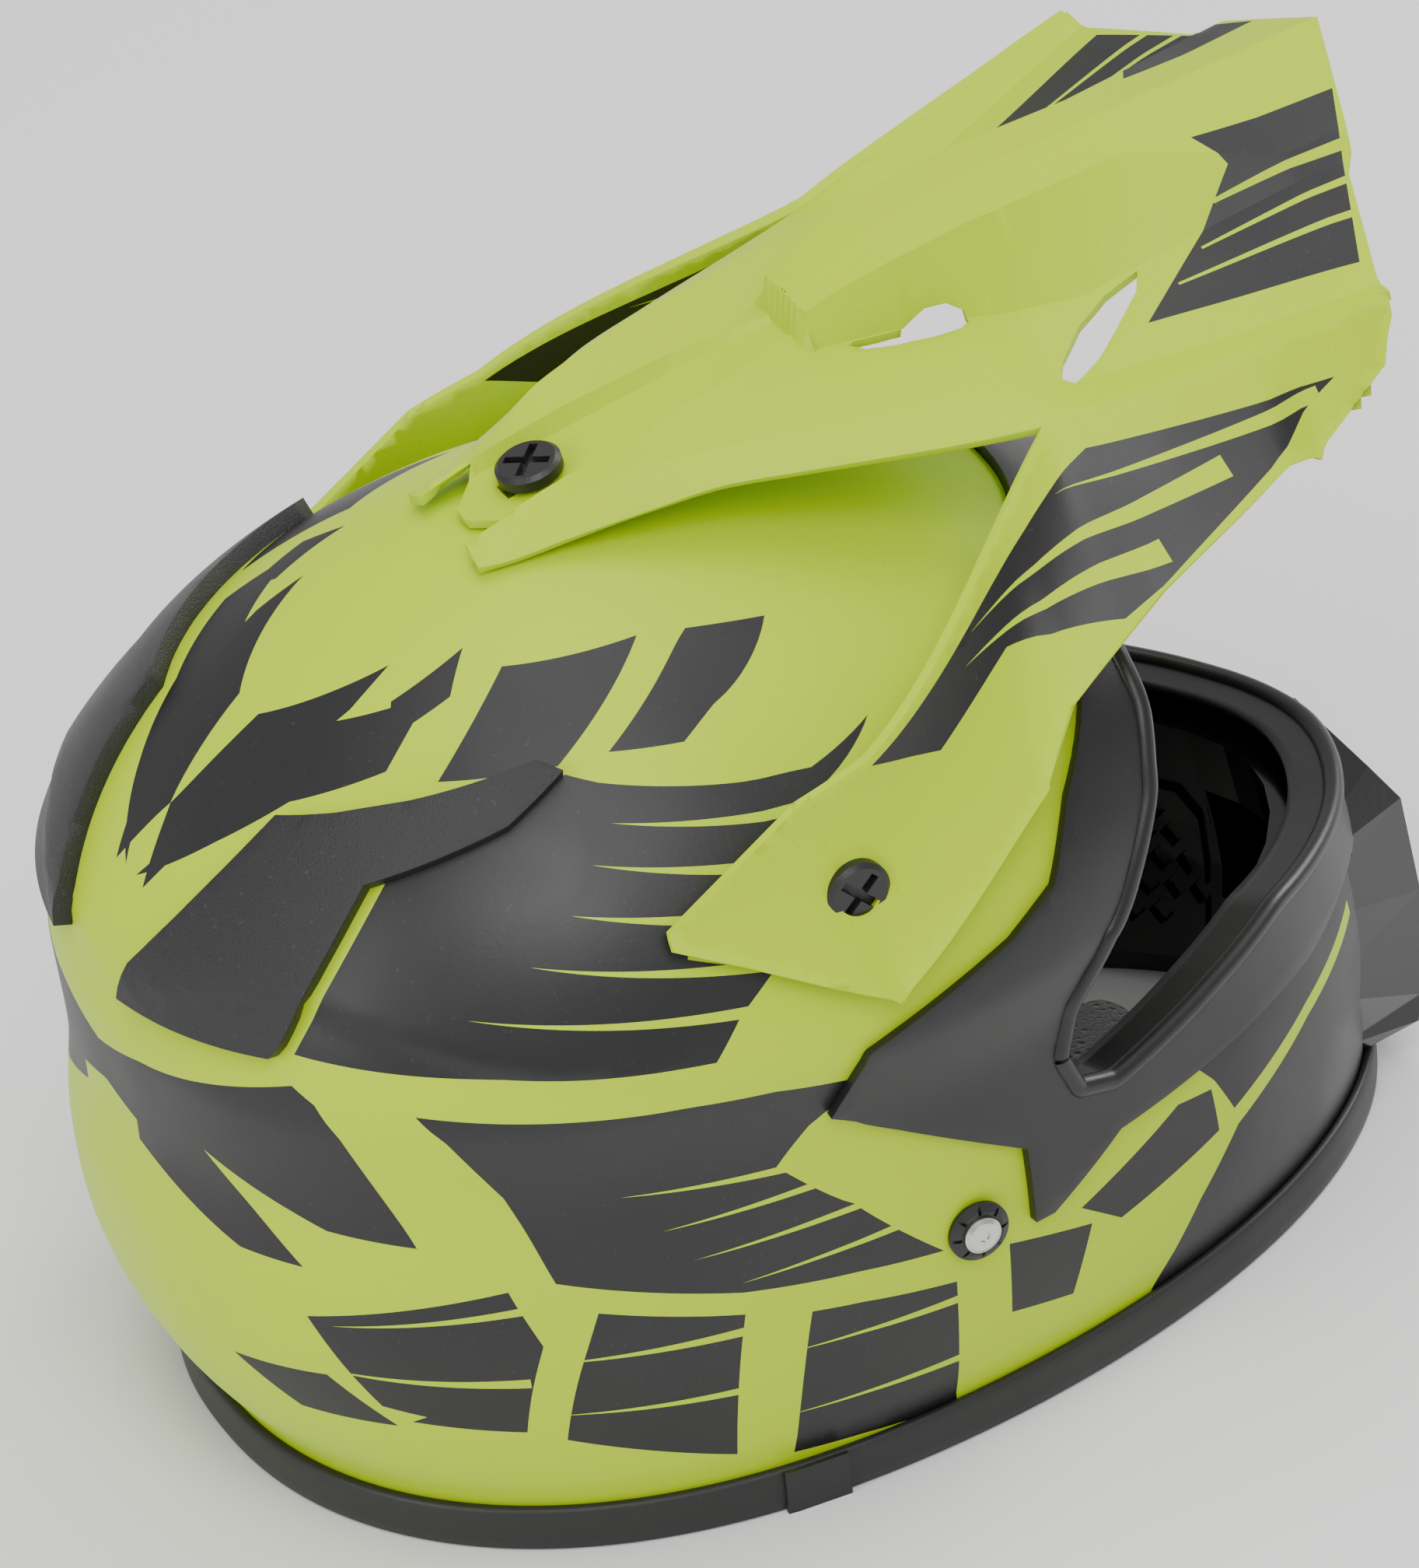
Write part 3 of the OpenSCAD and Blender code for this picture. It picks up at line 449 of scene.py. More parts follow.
PORT = [(-104, 203), (-104, 188), (-99, 169), (-86, 147), (-68, 124), (-63, 108), (-68, 96), (-80, 92),
        (-118, 99), (-145, 103), (-175, 100)]
WINGS = [(6, 123), (-5, 141), (-49, 154), (-64, 162), (-74, 180), (-88, 196), (-96, 214)]
SPIKE = [(-156, 80), (-80, 77), (-57, 63), (-51, 63), (-50, 87), (6, 123)]


def arc_to_front(y, z, z_front, count=14):
    """From a place in side view to the front's middle line, closing up towards it."""
    t = np.sin(np.linspace(0, np.pi / 2, count))
    zs = z + (z_front - z) * np.clip(t * 2, 0, 1)
    front = np.array([nose_reach(q) for q in zs])
    turn, up = on_side(y + (front - y) * t, zs)
    turn[-1] = 180
    return np.stack([turn * GIRTH, up], -1)


def port_outline():
    top = arc_to_front(-104, 203, 200)[::-1]
    side = soften(side_line(PORT[:1] + PORT, 4)[1:], 2, closed=False)
    low = arc_to_front(-175, 100, 99)
    return both_sides(np.concatenate([top, side[1:-1], low]))


def moulding_outline():
    top = arc_to_front(-96, 214, 219)[::-1]
    side = side_line(WINGS[::-1], 6)
    low = side_line(SPIKE[::-1], 6)
    return both_sides(np.concatenate([top, side[1:], low[1:], arc_to_front(-156, 80, 84)[1:]]))


# ---- shader groups, which give only masks, values and normals

def new_group(name, inputs, outputs):
    g = bpy.data.node_groups.new(name, "ShaderNodeTree")
    for label, value in inputs:
        g.interface.new_socket(label, in_out="INPUT", socket_type="NodeSocketFloat").default_value = value
    for label, kind in outputs:
        g.interface.new_socket(label, in_out="OUTPUT", socket_type=kind)
    return g, g.nodes.new("NodeGroupInput"), g.nodes.new("NodeGroupOutput")


def bump(g, height, strength, distance, result):
    b = g.nodes.new("ShaderNodeBump")
    b.inputs["Distance"].default_value = distance
    g.links.new(strength, b.inputs["Strength"])
    g.links.new(height, b.inputs["Height"])
    g.links.new(b.outputs["Normal"], result)


def ranged(g, value, low, high, to_low=0.0, to_high=1.0):
    m = g.nodes.new("ShaderNodeMapRange")
    for k, v in zip((1, 2, 3, 4), (low, high, to_low, to_high)):
        m.inputs[k].default_value = v
    g.links.new(value, m.inputs[0])
    return m.outputs[0]


def noise(g, place, scale, detail=3.0, rough=0.55):
    n = g.nodes.new("ShaderNodeTexNoise")
    n.inputs["Detail"].default_value, n.inputs["Roughness"].default_value = detail, rough
    g.links.new(place, n.inputs["Vector"])
    if isinstance(scale, (int, float)):
        n.inputs["Scale"].default_value = scale
    else:
        g.links.new(scale, n.inputs["Scale"])
    return n.outputs["Fac"]


def added(g, a, b, kind="ADD"):
    m = g.nodes.new("ShaderNodeMath")
    m.operation = kind
    for k, v in enumerate((a, b)):
        if isinstance(v, (int, float)):
            m.inputs[k].default_value = v
        else:
            g.links.new(v, m.inputs[k])
    return m.outputs[0]


def grain_group():
    """Moulded grain: fine noise as height, with a coarse noise for slow changes of gloss and sparse dust
    specks."""
    g, i, o = new_group("Moulded grain", [("Scale", 900.0), ("Strength", 0.2)],
                        [("Normal", "NodeSocketVector"), ("Gloss", "NodeSocketFloat"),
                         ("Specks", "NodeSocketFloat")])
    place = g.nodes.new("ShaderNodeTexCoord").outputs["Object"]
    bump(g, noise(g, place, i.outputs["Scale"]), i.outputs["Strength"], 0.0006, o.inputs["Normal"])
    g.links.new(noise(g, place, 14.0), o.inputs["Gloss"])
    g.links.new(ranged(g, noise(g, place, 620.0, 1.0), 0.70, 0.78), o.inputs["Specks"])
    return g


def knit_group():
    """Open knit: round holes in staggered rows between raised threads."""
    g, i, o = new_group("Open knit", [("Scale", 260.0), ("Strength", 0.9)],
                        [("Normal", "NodeSocketVector"), ("Holes", "NodeSocketFloat")])
    place = g.nodes.new("ShaderNodeTexCoord").outputs["Object"]
    v = g.nodes.new("ShaderNodeTexVoronoi")
    v.inputs["Randomness"].default_value = 0.35
    g.links.new(place, v.inputs["Vector"])
    g.links.new(i.outputs["Scale"], v.inputs["Scale"])
    holes = ranged(g, v.outputs["Distance"], 0.18, 0.42)
    bump(g, added(g, holes, noise(g, place, 1400.0)), i.outputs["Strength"], 0.0012, o.inputs["Normal"])
    g.links.new(holes, o.inputs["Holes"])
    return g


def webbing_group():
    """Woven webbing: ribs across the strap with a twill running over them."""
    g, i, o = new_group("Webbing", [("Scale", 420.0), ("Strength", 0.7)],
                        [("Normal", "NodeSocketVector"), ("Ribs", "NodeSocketFloat")])
    place = g.nodes.new("ShaderNodeTexCoord").outputs["Object"]
    waves = []
    for axis in ("Y", "Z"):
        w = g.nodes.new("ShaderNodeTexWave")
        w.bands_direction = axis
        w.inputs["Distortion"].default_value = 0.4
        g.links.new(place, w.inputs["Vector"])
        g.links.new(i.outputs["Scale"], w.inputs["Scale"])
        waves.append(w.outputs["Fac"])
    ribs = added(g, waves[0], waves[1], "MULTIPLY")
    bump(g, ribs, i.outputs["Strength"], 0.0008, o.inputs["Normal"])
    g.links.new(ribs, o.inputs["Ribs"])
    return g


GROUPS = {}


def group(name):
    if name not in GROUPS:
        GROUPS[name] = {"grain": grain_group, "knit": knit_group, "webbing": webbing_group}[name]()
    return GROUPS[name]


def finish(name, color, rough, kind="grain", scale=900.0, strength=0.2, second=None, metal=0.0, coat=0.0,
           spread=0.08, sheen=0.0, shine=0.5):
    """A finish: its colour is mixed towards second where the group's mask says, and its roughness follows the
    group's slow gloss."""
    m = bpy.data.materials.get(name)
    if m:
        return m
    m = bpy.data.materials.new(name)
    m.use_nodes = True
    m.diffuse_color = (*color, 1)
    t = m.node_tree
    p = t.nodes["Principled BSDF"]
    p.inputs["Metallic"].default_value = metal
    p.inputs["Coat Weight"].default_value = coat
    p.inputs["Coat Roughness"].default_value = 0.12
    p.inputs["Sheen Weight"].default_value = sheen
    p.inputs["Specular IOR Level"].default_value = shine
    g = t.nodes.new("ShaderNodeGroup")
    g.node_tree = group(kind)
    g.inputs["Scale"].default_value = scale
    g.inputs["Strength"].default_value = strength
    t.links.new(g.outputs["Normal"], p.inputs["Normal"])
    mask = g.outputs[{"grain": "Specks", "knit": "Holes", "webbing": "Ribs"}[kind]]
    mix = t.nodes.new("ShaderNodeMix")
    mix.data_type = "RGBA"
    mix.inputs["A"].default_value = (*color, 1)
    mix.inputs["B"].default_value = (*(second or color), 1)
    t.links.new(mask, mix.inputs["Factor"])
    t.links.new(mix.outputs["Result"], p.inputs["Base Color"])
    r = t.nodes.new("ShaderNodeMapRange")
    r.inputs[1].default_value, r.inputs[2].default_value = 0.3, 0.7
    r.inputs[3].default_value, r.inputs[4].default_value = rough - spread, rough + spread
    t.links.new(g.outputs["Gloss"] if kind == "grain" else mask, r.inputs[0])
    t.links.new(r.outputs[0], p.inputs["Roughness"])
    return m


def looks():
    return bpy.context.scene.helmet_looks


def yellow():
    c = tuple(looks().yellow)
    return finish("Satin fluorescent yellow", c, 0.42, scale=700.0, strength=0.05,
                  second=[v * 0.93 for v in c], shine=0.22)


def peak_yellow():
    c = tuple(looks().yellow)
    return finish("Moulded fluorescent yellow", [v * 0.97 for v in c], 0.46, scale=1500.0, strength=0.16,
                  second=[v * 0.88 for v in c], shine=0.22)


def print_black():
    return finish("Printed black", tuple(looks().black), 0.44, scale=700.0, strength=0.05,
                  second=(0.022, 0.022, 0.024))


def satin_black():
    return finish("Satin black moulding", (0.0085, 0.0085, 0.0095), 0.36, scale=1700.0, strength=0.10,
                  second=(0.013, 0.013, 0.014))


def vent_black():
    return finish("Grained black vent", (0.011, 0.011, 0.0125), 0.47, scale=1900.0, strength=0.55,
                  second=(0.03, 0.03, 0.032))


def gloss_black():
    return finish("Gloss black", (0.003, 0.003, 0.0033), 0.17, scale=300.0, strength=0.03, coat=0.25,
                  spread=0.04,
                  second=(0.006, 0.006, 0.0065), shine=0.3)


def rubber():
    return finish("Black edge rubber", (0.012, 0.012, 0.0125), 0.52, scale=800.0, strength=0.12,
                  second=(0.02, 0.02, 0.02))


def screw_black():
    return finish("Black nylon", (0.012, 0.012, 0.013), 0.4, scale=1200.0, strength=0.15,
                  second=(0.02, 0.02, 0.021))


def foam():
    return finish("Black beaded foam", (0.02, 0.02, 0.021), 0.85, "knit", 210.0, 0.5,
                  second=(0.03, 0.03, 0.031))


def mesh_cloth():
    return finish("Black spacer mesh", (0.004, 0.004, 0.0045), 0.8, "knit", 330.0, 1.0,
                  second=(0.028, 0.028, 0.03),
                  sheen=0.3)


def soft_cloth():
    return finish("Black brushed knit", (0.012, 0.012, 0.014), 0.9, "knit", 700.0, 0.5,
                  second=(0.022, 0.022, 0.024),
                  sheen=0.5)


def webbing():
    return finish("Black webbing", (0.010, 0.010, 0.011), 0.75, "webbing", 150.0, 0.7,
                  second=(0.025, 0.025, 0.027))


def steel():
    return finish("Polished steel", (0.62, 0.61, 0.58), 0.26, scale=400.0, strength=0.04, metal=1.0,
                  second=(0.5, 0.49, 0.47))


def brass():
    return finish("Turned brass", (0.72, 0.52, 0.22), 0.32, scale=800.0, strength=0.08, metal=1.0,
                  second=(0.6, 0.43, 0.18))


# ---- the pieces, in millimetres

SHELL_WALL = 3.5
MOULDING_FACE, MOULDING_T = 2.8, 2.6     # outer face off the shell, thickness
ROLL_R, ROLL_OUT = 2.9, 1.6              # the rolled edge's radius, and its middle off the shell
PORT_WALL_T, PORT_WALL_IN = 1.6, -11.0   # the inner wall's thickness, and how far in it goes
VENT_FACE, VENT_T = 5.2, 5.0
CHEEK_CELL, CROWN_CELL = 5.0, 6.0        # cells that the pads are remade in


DASHES = [
    [(73, 231), (91, 253), (103, 249), (84, 229)],
    [(45, 228), (52, 253), (83, 255), (65, 230)],
    [(1, 187), (8, 214), (18, 235), (37, 246), (35, 229), (20, 218), (11, 204)],
    [(-3, 186), (-9, 211), (-15, 225), (-21, 239), (-23, 250), (-3, 229), (0, 204)],
    [(-33, 236), (-42, 246), (-40, 257), (-29, 243)]]
SIDE_UPPER = [(33, 165), (41, 207), (59, 221), (66, 228), (71, 225), (93, 215), (101, 221), (91, 208),
              (87, 198),
              (79, 192), (78, 183), (86, 175), (82, 166), (79, 155), (58, 161)]
SIDE_LOWER = [(48, 150), (84, 137), (92, 131), (87, 121), (84, 111), (98, 66), (80, 76), (62, 91), (57, 119)]
REAR = [(-10, 127), (33, 156), (36, 151), (47, 104), (36, 107), (19, 122), (33, 95), (24, 96), (6, 111),
        (6, 117)]
SLASHES = [[(33, 80), (57, 90), (60, 72), (56, 43), (40, 52)], [(66, 80), (80, 69), (77, 22), (60, 39)],
           [(86, 63), (99, 54), (99, 11), (83, 16)], [(104, 58), (112, 50), (110, 30), (104, 35)],
           [(20, 59), (34, 61), (41, 45), (28, 46)], [(43, 47), (56, 43), (49, 53)]]
CHIN_PATCH = [(111, 57), (122, 70), (126, 67), (126.5, 52), (115, 46)]
CHIN_LOW = [(116, 2), (124, 34), (129, 49), (141, 61), (155, 69), (156, 2)]
CHIN_HIGH = [(128.6, 55), (126.5, 69), (124, 80), (131, 108), (180, 108), (180, 2), (155, 2), (155, 73.5),
             (141, 65.5)]
HAIRS = [  # each tapers from a point to its wide end: start, end, width at the end
    ((72, 216), (95, 206), 3.0), ((69, 208), (90, 197), 3.2), ((66, 198), (82, 190), 2.8),
    ((61, 188), (90, 174), 3.6), ((54, 177), (86, 165), 3.4), ((69, 114), (87, 109), 2.6),
    ((73, 101), (92, 102), 2.8), ((76, 90), (96, 91), 2.8), ((80, 79), (99, 80), 2.8),
    ((33, 63), (58, 60), 3.0), ((36, 78), (60, 84), 2.6), ((60, 66), (83, 63), 3.2),
    ((60, 48), (84, 43), 2.8), ((84, 52), (103, 47), 3.0), ((83, 31), (104, 27), 2.8)]


def taper(start, end, wide):
    """A hairline: a long thin triangle from a point to its wide end."""
    d = (end - start) / np.hypot(*(end - start))
    n = np.array([-d[1], d[0]]) * wide / 2
    return np.array([start, end - n, end + n])


def shell_prints():
    """(outline, ink) of everything printed on the shell: black shapes first, then yellow hairlines over
    them."""
    black = [degrees_up(p) for p in DASHES + SLASHES + [SIDE_UPPER, SIDE_LOWER, REAR, CHIN_PATCH, CHIN_LOW,
                                                        CHIN_HIGH]]
    fine = [taper(*degrees_up(h[:2]), h[2]) for h in HAIRS]
    out = []
    for ink, loops in ((1, black), (0, fine)):
        for loop in loops:
            for side in (loop, other_side(loop)):
                out += [(part, ink) for part in round_back(side)]
    return out


class HELMET_OT_shell(bpy.types.Operator):
    """The painted shell: one sheet over the whole head, cut open for the eyes, 3.5 mm thick, with its
    prints"""
    bl_idname = "helmet.shell"
    bl_label = "Shell and prints"

    def execute(self, context):
        step = looks().fineness
        inner = []
        for up in np.arange(SEAT_Z + step, TOP - 1, step):
            ring = shell(np.arange(0, 360, 6.0), up)
            n = max(12, int(np.linalg.norm(np.roll(ring, -1, 0) - ring, axis=1).sum() / step))
            inner.append(np.stack([np.arange(1, n) / n * 360 * GIRTH, np.full(n - 1, up)], -1))
        sheet = [(0, SEAT_Z), (360 * GIRTH, SEAT_Z), (360 * GIRTH, TOP), (0, TOP)]
        obj = cut_sheet("shell", sheet, on_shell(), yellow(), step=step, holes=[port_outline()],
                        prints=shell_prints(), inks=[print_black()], inner=np.concatenate(inner), weld=True,
                        sharp=60, slot="shell_paint")
        thicken(obj, SHELL_WALL)
        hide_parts("outer_shell")
        return {"FINISHED"}


class HELMET_OT_moulding(bpy.types.Operator):
    """The black moulding round the eye port, with its wings and spikes, its rolled edge and its inner wall"""
    bl_idname = "helmet.moulding"
    bl_label = "Eye port moulding"

    def execute(self, context):
        port = port_outline()
        obj = cut_sheet("port_moulding", moulding_outline(), on_shell(MOULDING_FACE), satin_black(), step=4.0,
                        holes=[port], sharp=30, slot="black_trim")
        thicken(obj, MOULDING_T)
        round_edges(obj, 1.1, 3, 50)
        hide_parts("eye_port_moulding")
        rim = divide(port, 3.0)
        roll = shell(rim[:, 0] / GIRTH, rim[:, 1], ROLL_OUT)
        tube("port_rolled_edge", roll, ROLL_R, satin_black(), slot="black_trim")
        depth = np.linspace(1.0, PORT_WALL_IN, 5)
        wall = np.stack([shell(rim[:, 0] / GIRTH, rim[:, 1], d) for d in depth])
        inner = new_piece("port_inner_wall", wall, grid_faces(len(depth), len(rim), wrap=True), satin_black(),
                          slot="black_trim")
        m = inner.modifiers.new("Thickness", "SOLIDIFY")
        m.thickness, m.offset = PORT_WALL_T * MM, 0.0
        return {"FINISHED"}


VENT = [(7, 162), (8, 173), (21, 215), (62, 231), (66, 228), (58, 218), (39, 206), (32, 168), (31, 165)]


class HELMET_OT_vents(bpy.types.Operator):
    """The two grained rear vents"""
    bl_idname = "helmet.vents"
    bl_label = "Rear vents"

    def execute(self, context):
        for side, node in (("right", "rear_vent_right"), ("left", "rear_vent_left")):
            loop = degrees_up(VENT)
            loop = other_side(loop) if side == "left" else loop
            obj = cut_sheet("rear_vent_" + side, loop, on_shell(VENT_FACE), vent_black(), step=4.0, sharp=30,
                            slot="vent_black")
            thicken(obj, VENT_T)
            round_edges(obj, 1.7, 3, 50)
            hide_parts(node)
        return {"FINISHED"}


# the peak, in millimetres: x across, y back

REAR_END = [(0, 36.5), (3, 36.5), (13.2, 27), (13.2, 42), (21, 42)]
FRONT_END = [(86, -186.5), (77, -188), (42, -200), (38, -203.5), (0, -216)]
WINDOW_IN = [(15.6, -66), (18.2, -78), (19.6, -92), (23, -100), (26, -94), (22, -72)]
WINDOW_OUT = [(34, -147), (36, -126), (50.5, -108.4), (57, -112.6)]
FRONT_PRINT = [(18, -168), (21, -208), (70, -187), (50, -136), (28, -173)]
FRONT_LINES = [((32, -166), (36, -203)), ((39.5, -158), (45, -199)), ((45, -148), (56, -195))]
ARM_PRINT = [(-19, 214), (-66, 238), (-97, 253), (-104, 257), (-168, 263), (-144, 248), (-97, 224),
             (-66, 223),
             (-40, 208)]
ARM_HAIRS = [((-52, 224), (-112, 236), 4.5), ((-56, 231), (-134, 250), 4.5), ((-92, 249), (-163, 260), 3.6)]
FRONT_LINE_WIDTH = 2.6
TONGUE_SLOT = [(-3.5, 9.9), (3.5, 9.9), (3.5, 24.7), (-3.5, 24.7)]


def mirror_x(loop):
    return (np.array(loop, float) * [-1, 1])[::-1]


def plate_outline():
    y = np.linspace(42, -186.5, 80)[1:-1]
    right = np.array(REAR_END + list(zip(edge_x(y), y)) + FRONT_END, float)
    return np.concatenate([right, mirror_x(right)[1:-1]])


def plate_folds():
    out = []
    for y in (np.linspace(41.5, -56.4, 60), np.linspace(-58.6, -215, 90)):
        xs = plate_lines(y)[0]
        for k in (1, 2, 3):
            keep = y > -188 if k == 3 else y > -199
            if y[0] > 0:
                keep &= np.abs(xs[k]) > np.where(y > 27, 14.2, 0)
            out += [np.stack([s * xs[k], y], -1)[keep] for s in (-1, 1)]
    out.append(np.stack([0 * y, y], -1)[y > -214])
    out += [np.array([(-28.0, q), (28.0, q)]) for q in (-56.45, -58.55)]
    return out


def front_prints():
    out = []
    for turn in (np.array, mirror_x):
        out.append((turn(FRONT_PRINT), 1))
        for a, b in FRONT_LINES:
            a, b = np.array(a, float), np.array(b, float)
            out.append((turn([a - [0.4, 0], b - [FRONT_LINE_WIDTH / 2, 2], b + [FRONT_LINE_WIDTH / 2, -2],
                              a + [0.4, 0]]), 0))
    return [(np.asarray(p, float), k) for p, k in out]


def round_hole(x, y, r):
    a = np.linspace(0, 2 * np.pi, 28, endpoint=False)
    return np.stack([x + r * np.cos(a), y + r * np.sin(a)], -1)


def on_arm(side):
    """Places (y, height) on a side arm: side is -1 on the wearer's right."""
    def place(p):
        _, low_z, _, top_z = arm_rails(p[:, 0])
        return arm(p[:, 0], (p[:, 1] - low_z) / (top_z - low_z)) * [-side, 1, 1]
    return place


def arm_outline():
    y = np.unique(np.concatenate([np.linspace(40, -186, 70),
                                  [24, -14, -67, -78, -108, -149, -158, -181, -96, -18, 2]]))
    _, low_z, _, top_z = arm_rails(y)
    return np.concatenate([np.stack([y, low_z], -1), np.stack([y, top_z], -1)[::-1]])


class HELMET_OT_peak(bpy.types.Operator):
    """The peak: its folded top plate with tongue, rails, spine and windows, and its two side arms, with
    their prints"""
    bl_idname = "helmet.peak"
    bl_label = "Peak"

    def execute(self, context):
        paint, inks = peak_yellow(), [print_black()]
        right = [soften(w, 1) for w in (WINDOW_IN, WINDOW_OUT)]
        windows = right + [mirror_x(w) for w in right]
        top = cut_sheet("peak_plate", plate_outline(), lambda p: plate(p[:, 0], p[:, 1]), paint, step=3.2,
                        holes=windows + [TONGUE_SLOT], folds=plate_folds(), prints=front_prints(),
                        inks=inks, body="peak", sharp=14, slot="shell_paint")
        thicken(top, PEAK_T)
        round_edges(top, 0.7, 2, 60)
        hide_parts("peak")
        prints = [(np.array(ARM_PRINT, float), 1)] + [(taper(*np.array(h[:2], float), h[2]),
                                                       0) for h in ARM_HAIRS]
        for side, word in ((-1, "right"), (1, "left")):
            piece = cut_sheet("peak_arm_" + word, arm_outline(), on_arm(side), paint, step=3.2,
                              holes=[round_hole(PIVOT_Y, PIVOT_Z,
                                                6.5)], prints=prints, inks=inks, body="peak",
                              sharp=25, slot="shell_paint")
            flip(piece, side > 0)
            thicken(piece, PEAK_T)
            round_edges(piece, 0.7, 2, 60)
        return {"FINISHED"}


def flip(obj, wanted):
    """Turns a sheet's faces over, so that it faces outwards."""
    if wanted:
        obj.data.flip_normals()


# soft pieces

def stuffed(node, name, material, cell, push):
    """A stuffed pad: the CAD solid is remade in even cells, blown up as cloth with the gravity off, and
    kept within push millimetres of where it started."""
    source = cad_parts[node]
    mesh = source.data.copy()
    obj = bpy.data.objects.new(name, mesh)
    bpy.context.scene.collection.objects.link(obj)
    bpy.context.view_layer.objects.active = obj
    obj.select_set(True)
    m = obj.modifiers.new("Even cells", "REMESH")
    m.mode, m.voxel_size = "VOXEL", cell * MM
    bake_modifiers(obj)
    count = len(obj.data.vertices)
    rest = np.empty(count * 3)
    obj.data.vertices.foreach_get("co", rest)
    cloth = obj.modifiers.new("Cloth", "CLOTH")
    cloth.settings.use_pressure = True
    cloth.settings.uniform_pressure_force = 4.0
    cloth.settings.effector_weights.gravity = 0.0
    cloth.settings.quality = 4
    cloth.point_cache.frame_start, cloth.point_cache.frame_end = 1, 20
    for k in range(1, 21):
        bpy.context.scene.frame_set(k)
    bake_modifiers(obj)
    bpy.context.scene.frame_set(1)
    now = np.empty(count * 3)
    obj.data.vertices.foreach_get("co", now)
    move = (now - rest).reshape(-1, 3)
    far = np.linalg.norm(move, axis=1)
    move *= (np.minimum(far, push * MM) / np.maximum(far, 1e-9))[:, None]
    obj.data.vertices.foreach_set("co", (rest.reshape(-1, 3) + move).ravel())
    s = obj.modifiers.new("Smooth", "SMOOTH")
    s.factor, s.iterations = 0.5, 4
    bake_modifiers(obj)
    d = obj.modifiers.new("Finer", "SUBSURF")
    d.levels = d.render_levels = 1
    obj.data.shade_smooth()
    obj.data.materials.clear()
    obj.data.materials.append(material)
    obj.select_set(False)
    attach(obj, "helmet")
    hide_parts(node)
    return obj


def bake_modifiers(obj):
    """Puts the modifiers' result into the mesh."""
    shape = obj.evaluated_get(bpy.context.evaluated_depsgraph_get())
    mesh = bpy.data.meshes.new_from_object(shape)
    obj.modifiers.clear()
    obj.data = mesh


class HELMET_OT_pads(bpy.types.Operator):
    """The soft pieces: two cheek pads, the crown's comfort liner and the neck roll"""
    bl_idname = "helmet.pads"
    bl_label = "Pads"

    def execute(self, context):
        stuffed("cheek_pad_right", "cheek_cushion_right", mesh_cloth(), CHEEK_CELL, 0.9)
        stuffed("cheek_pad_left", "cheek_cushion_left", mesh_cloth(), CHEEK_CELL, 0.9)
        stuffed("comfort_liner", "crown_cushion", soft_cloth(), CROWN_CELL, 1.6)
        stuffed("neck_roll", "neck_cushion", soft_cloth(), CHEEK_CELL, 2.0)
        return {"FINISHED"}


class HELMET_OT_edge(bpy.types.Operator):
    """The rubber edge: a rounded channel carried round the shell's bottom"""
    bl_idname = "helmet.edge"
    bl_label = "Rubber edge"

    def execute(self, context):
        turn = np.linspace(0, 360, 240, endpoint=False)
        section = soften([(3.15, 1.2), (2.0, 0.0), (-5.6, 0.0), (-6.65, 1.2), (-6.65, 12.0), (-5.8, 13.0),
                          (-4.0, 13.0), (-3.7, 12.0), (-3.7, 4.5), (0.12, 4.5), (0.12, 12.2), (0.5, 13.0),
                          (2.2, 13.0), (3.15, 11.6)], 1)
        rows = [shell(turn, BAND_Z + 0 * turn, s[0]) * [1, 1, 0] + [0, 0, s[1]] for s in section]
        rows = np.stack(rows + rows[:1])
        obj = new_piece("rubber_edge", rows, grid_faces(len(rows), len(turn), wrap=True), rubber(), weld=True,
                        sharp=50, slot="edge_rubber")
        if np.cross(rows[1, 0] - rows[0, 0], rows[0, 1] - rows[0, 0])[2] > 0:
            flip(obj, True)
        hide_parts("base_trim")
        return {"FINISHED"}


HARD = {
    "foam_liner": (foam, 0), "chin_bar_liner": (gloss_black, 1.5), "trim_joiner": (rubber, 0.5),
    "side_screw_right": (screw_black, 0.5), "side_screw_left": (screw_black, 0.5),
    "centre_screw": (screw_black, 0.5), "screw_inserts": (brass, 0.2), "nose_cover": (gloss_black, 1.2),
    "nose_mesh": (vent_black, 0.3), "chin_grille_right": (gloss_black,
                                                          0.4), "chin_grille_left": (gloss_black, 0.4),
    "grille_plugs": (satin_black, 0.8), "strap_rivets": (steel, 0.25), "rivet_washers": (screw_black, 0.25),
    "strap_anchors": (steel, 0.2), "strap_right": (webbing, 0.5), "strap_left": (webbing, 0.5),
    "d_ring_lower": (steel, 0), "d_ring_upper": (steel, 0), "strap_snaps": (screw_black, 0.4),
    "cheek_pad_studs": (screw_black, 0.4)}


class HELMET_OT_hardware(bpy.types.Operator):
    """The hard pieces that keep their CAD shape: finishes, and a small round on their edges"""
    bl_idname = "helmet.hardware"
    bl_label = "Hardware"

    def execute(self, context):
        for node, (make, width) in HARD.items():
            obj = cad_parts[node]
            material = make()
            if not obj.material_slots:
                obj.data.materials.append(material)
            for s in obj.material_slots:
                s.link = "OBJECT"
                s.material = material
            if width:
                round_edges(obj, width, 2, 30)
        return {"FINISHED"}


LIGHTS = (("key", (-1.6, 0.4, 2.2), 1.6, 36), ("top", (0.2, -0.2, 2.6), 2.0, 26),   # name, place, size, W
          ("rim", (0.6, -2.2, 1.4), 1.2, 26), ("back", (-0.6, 2.4, 1.3), 1.4, 26))
FLOOR_HALF = 6.0                     # m
AIM = (0, -0.03, 0.14)               # where the lights point


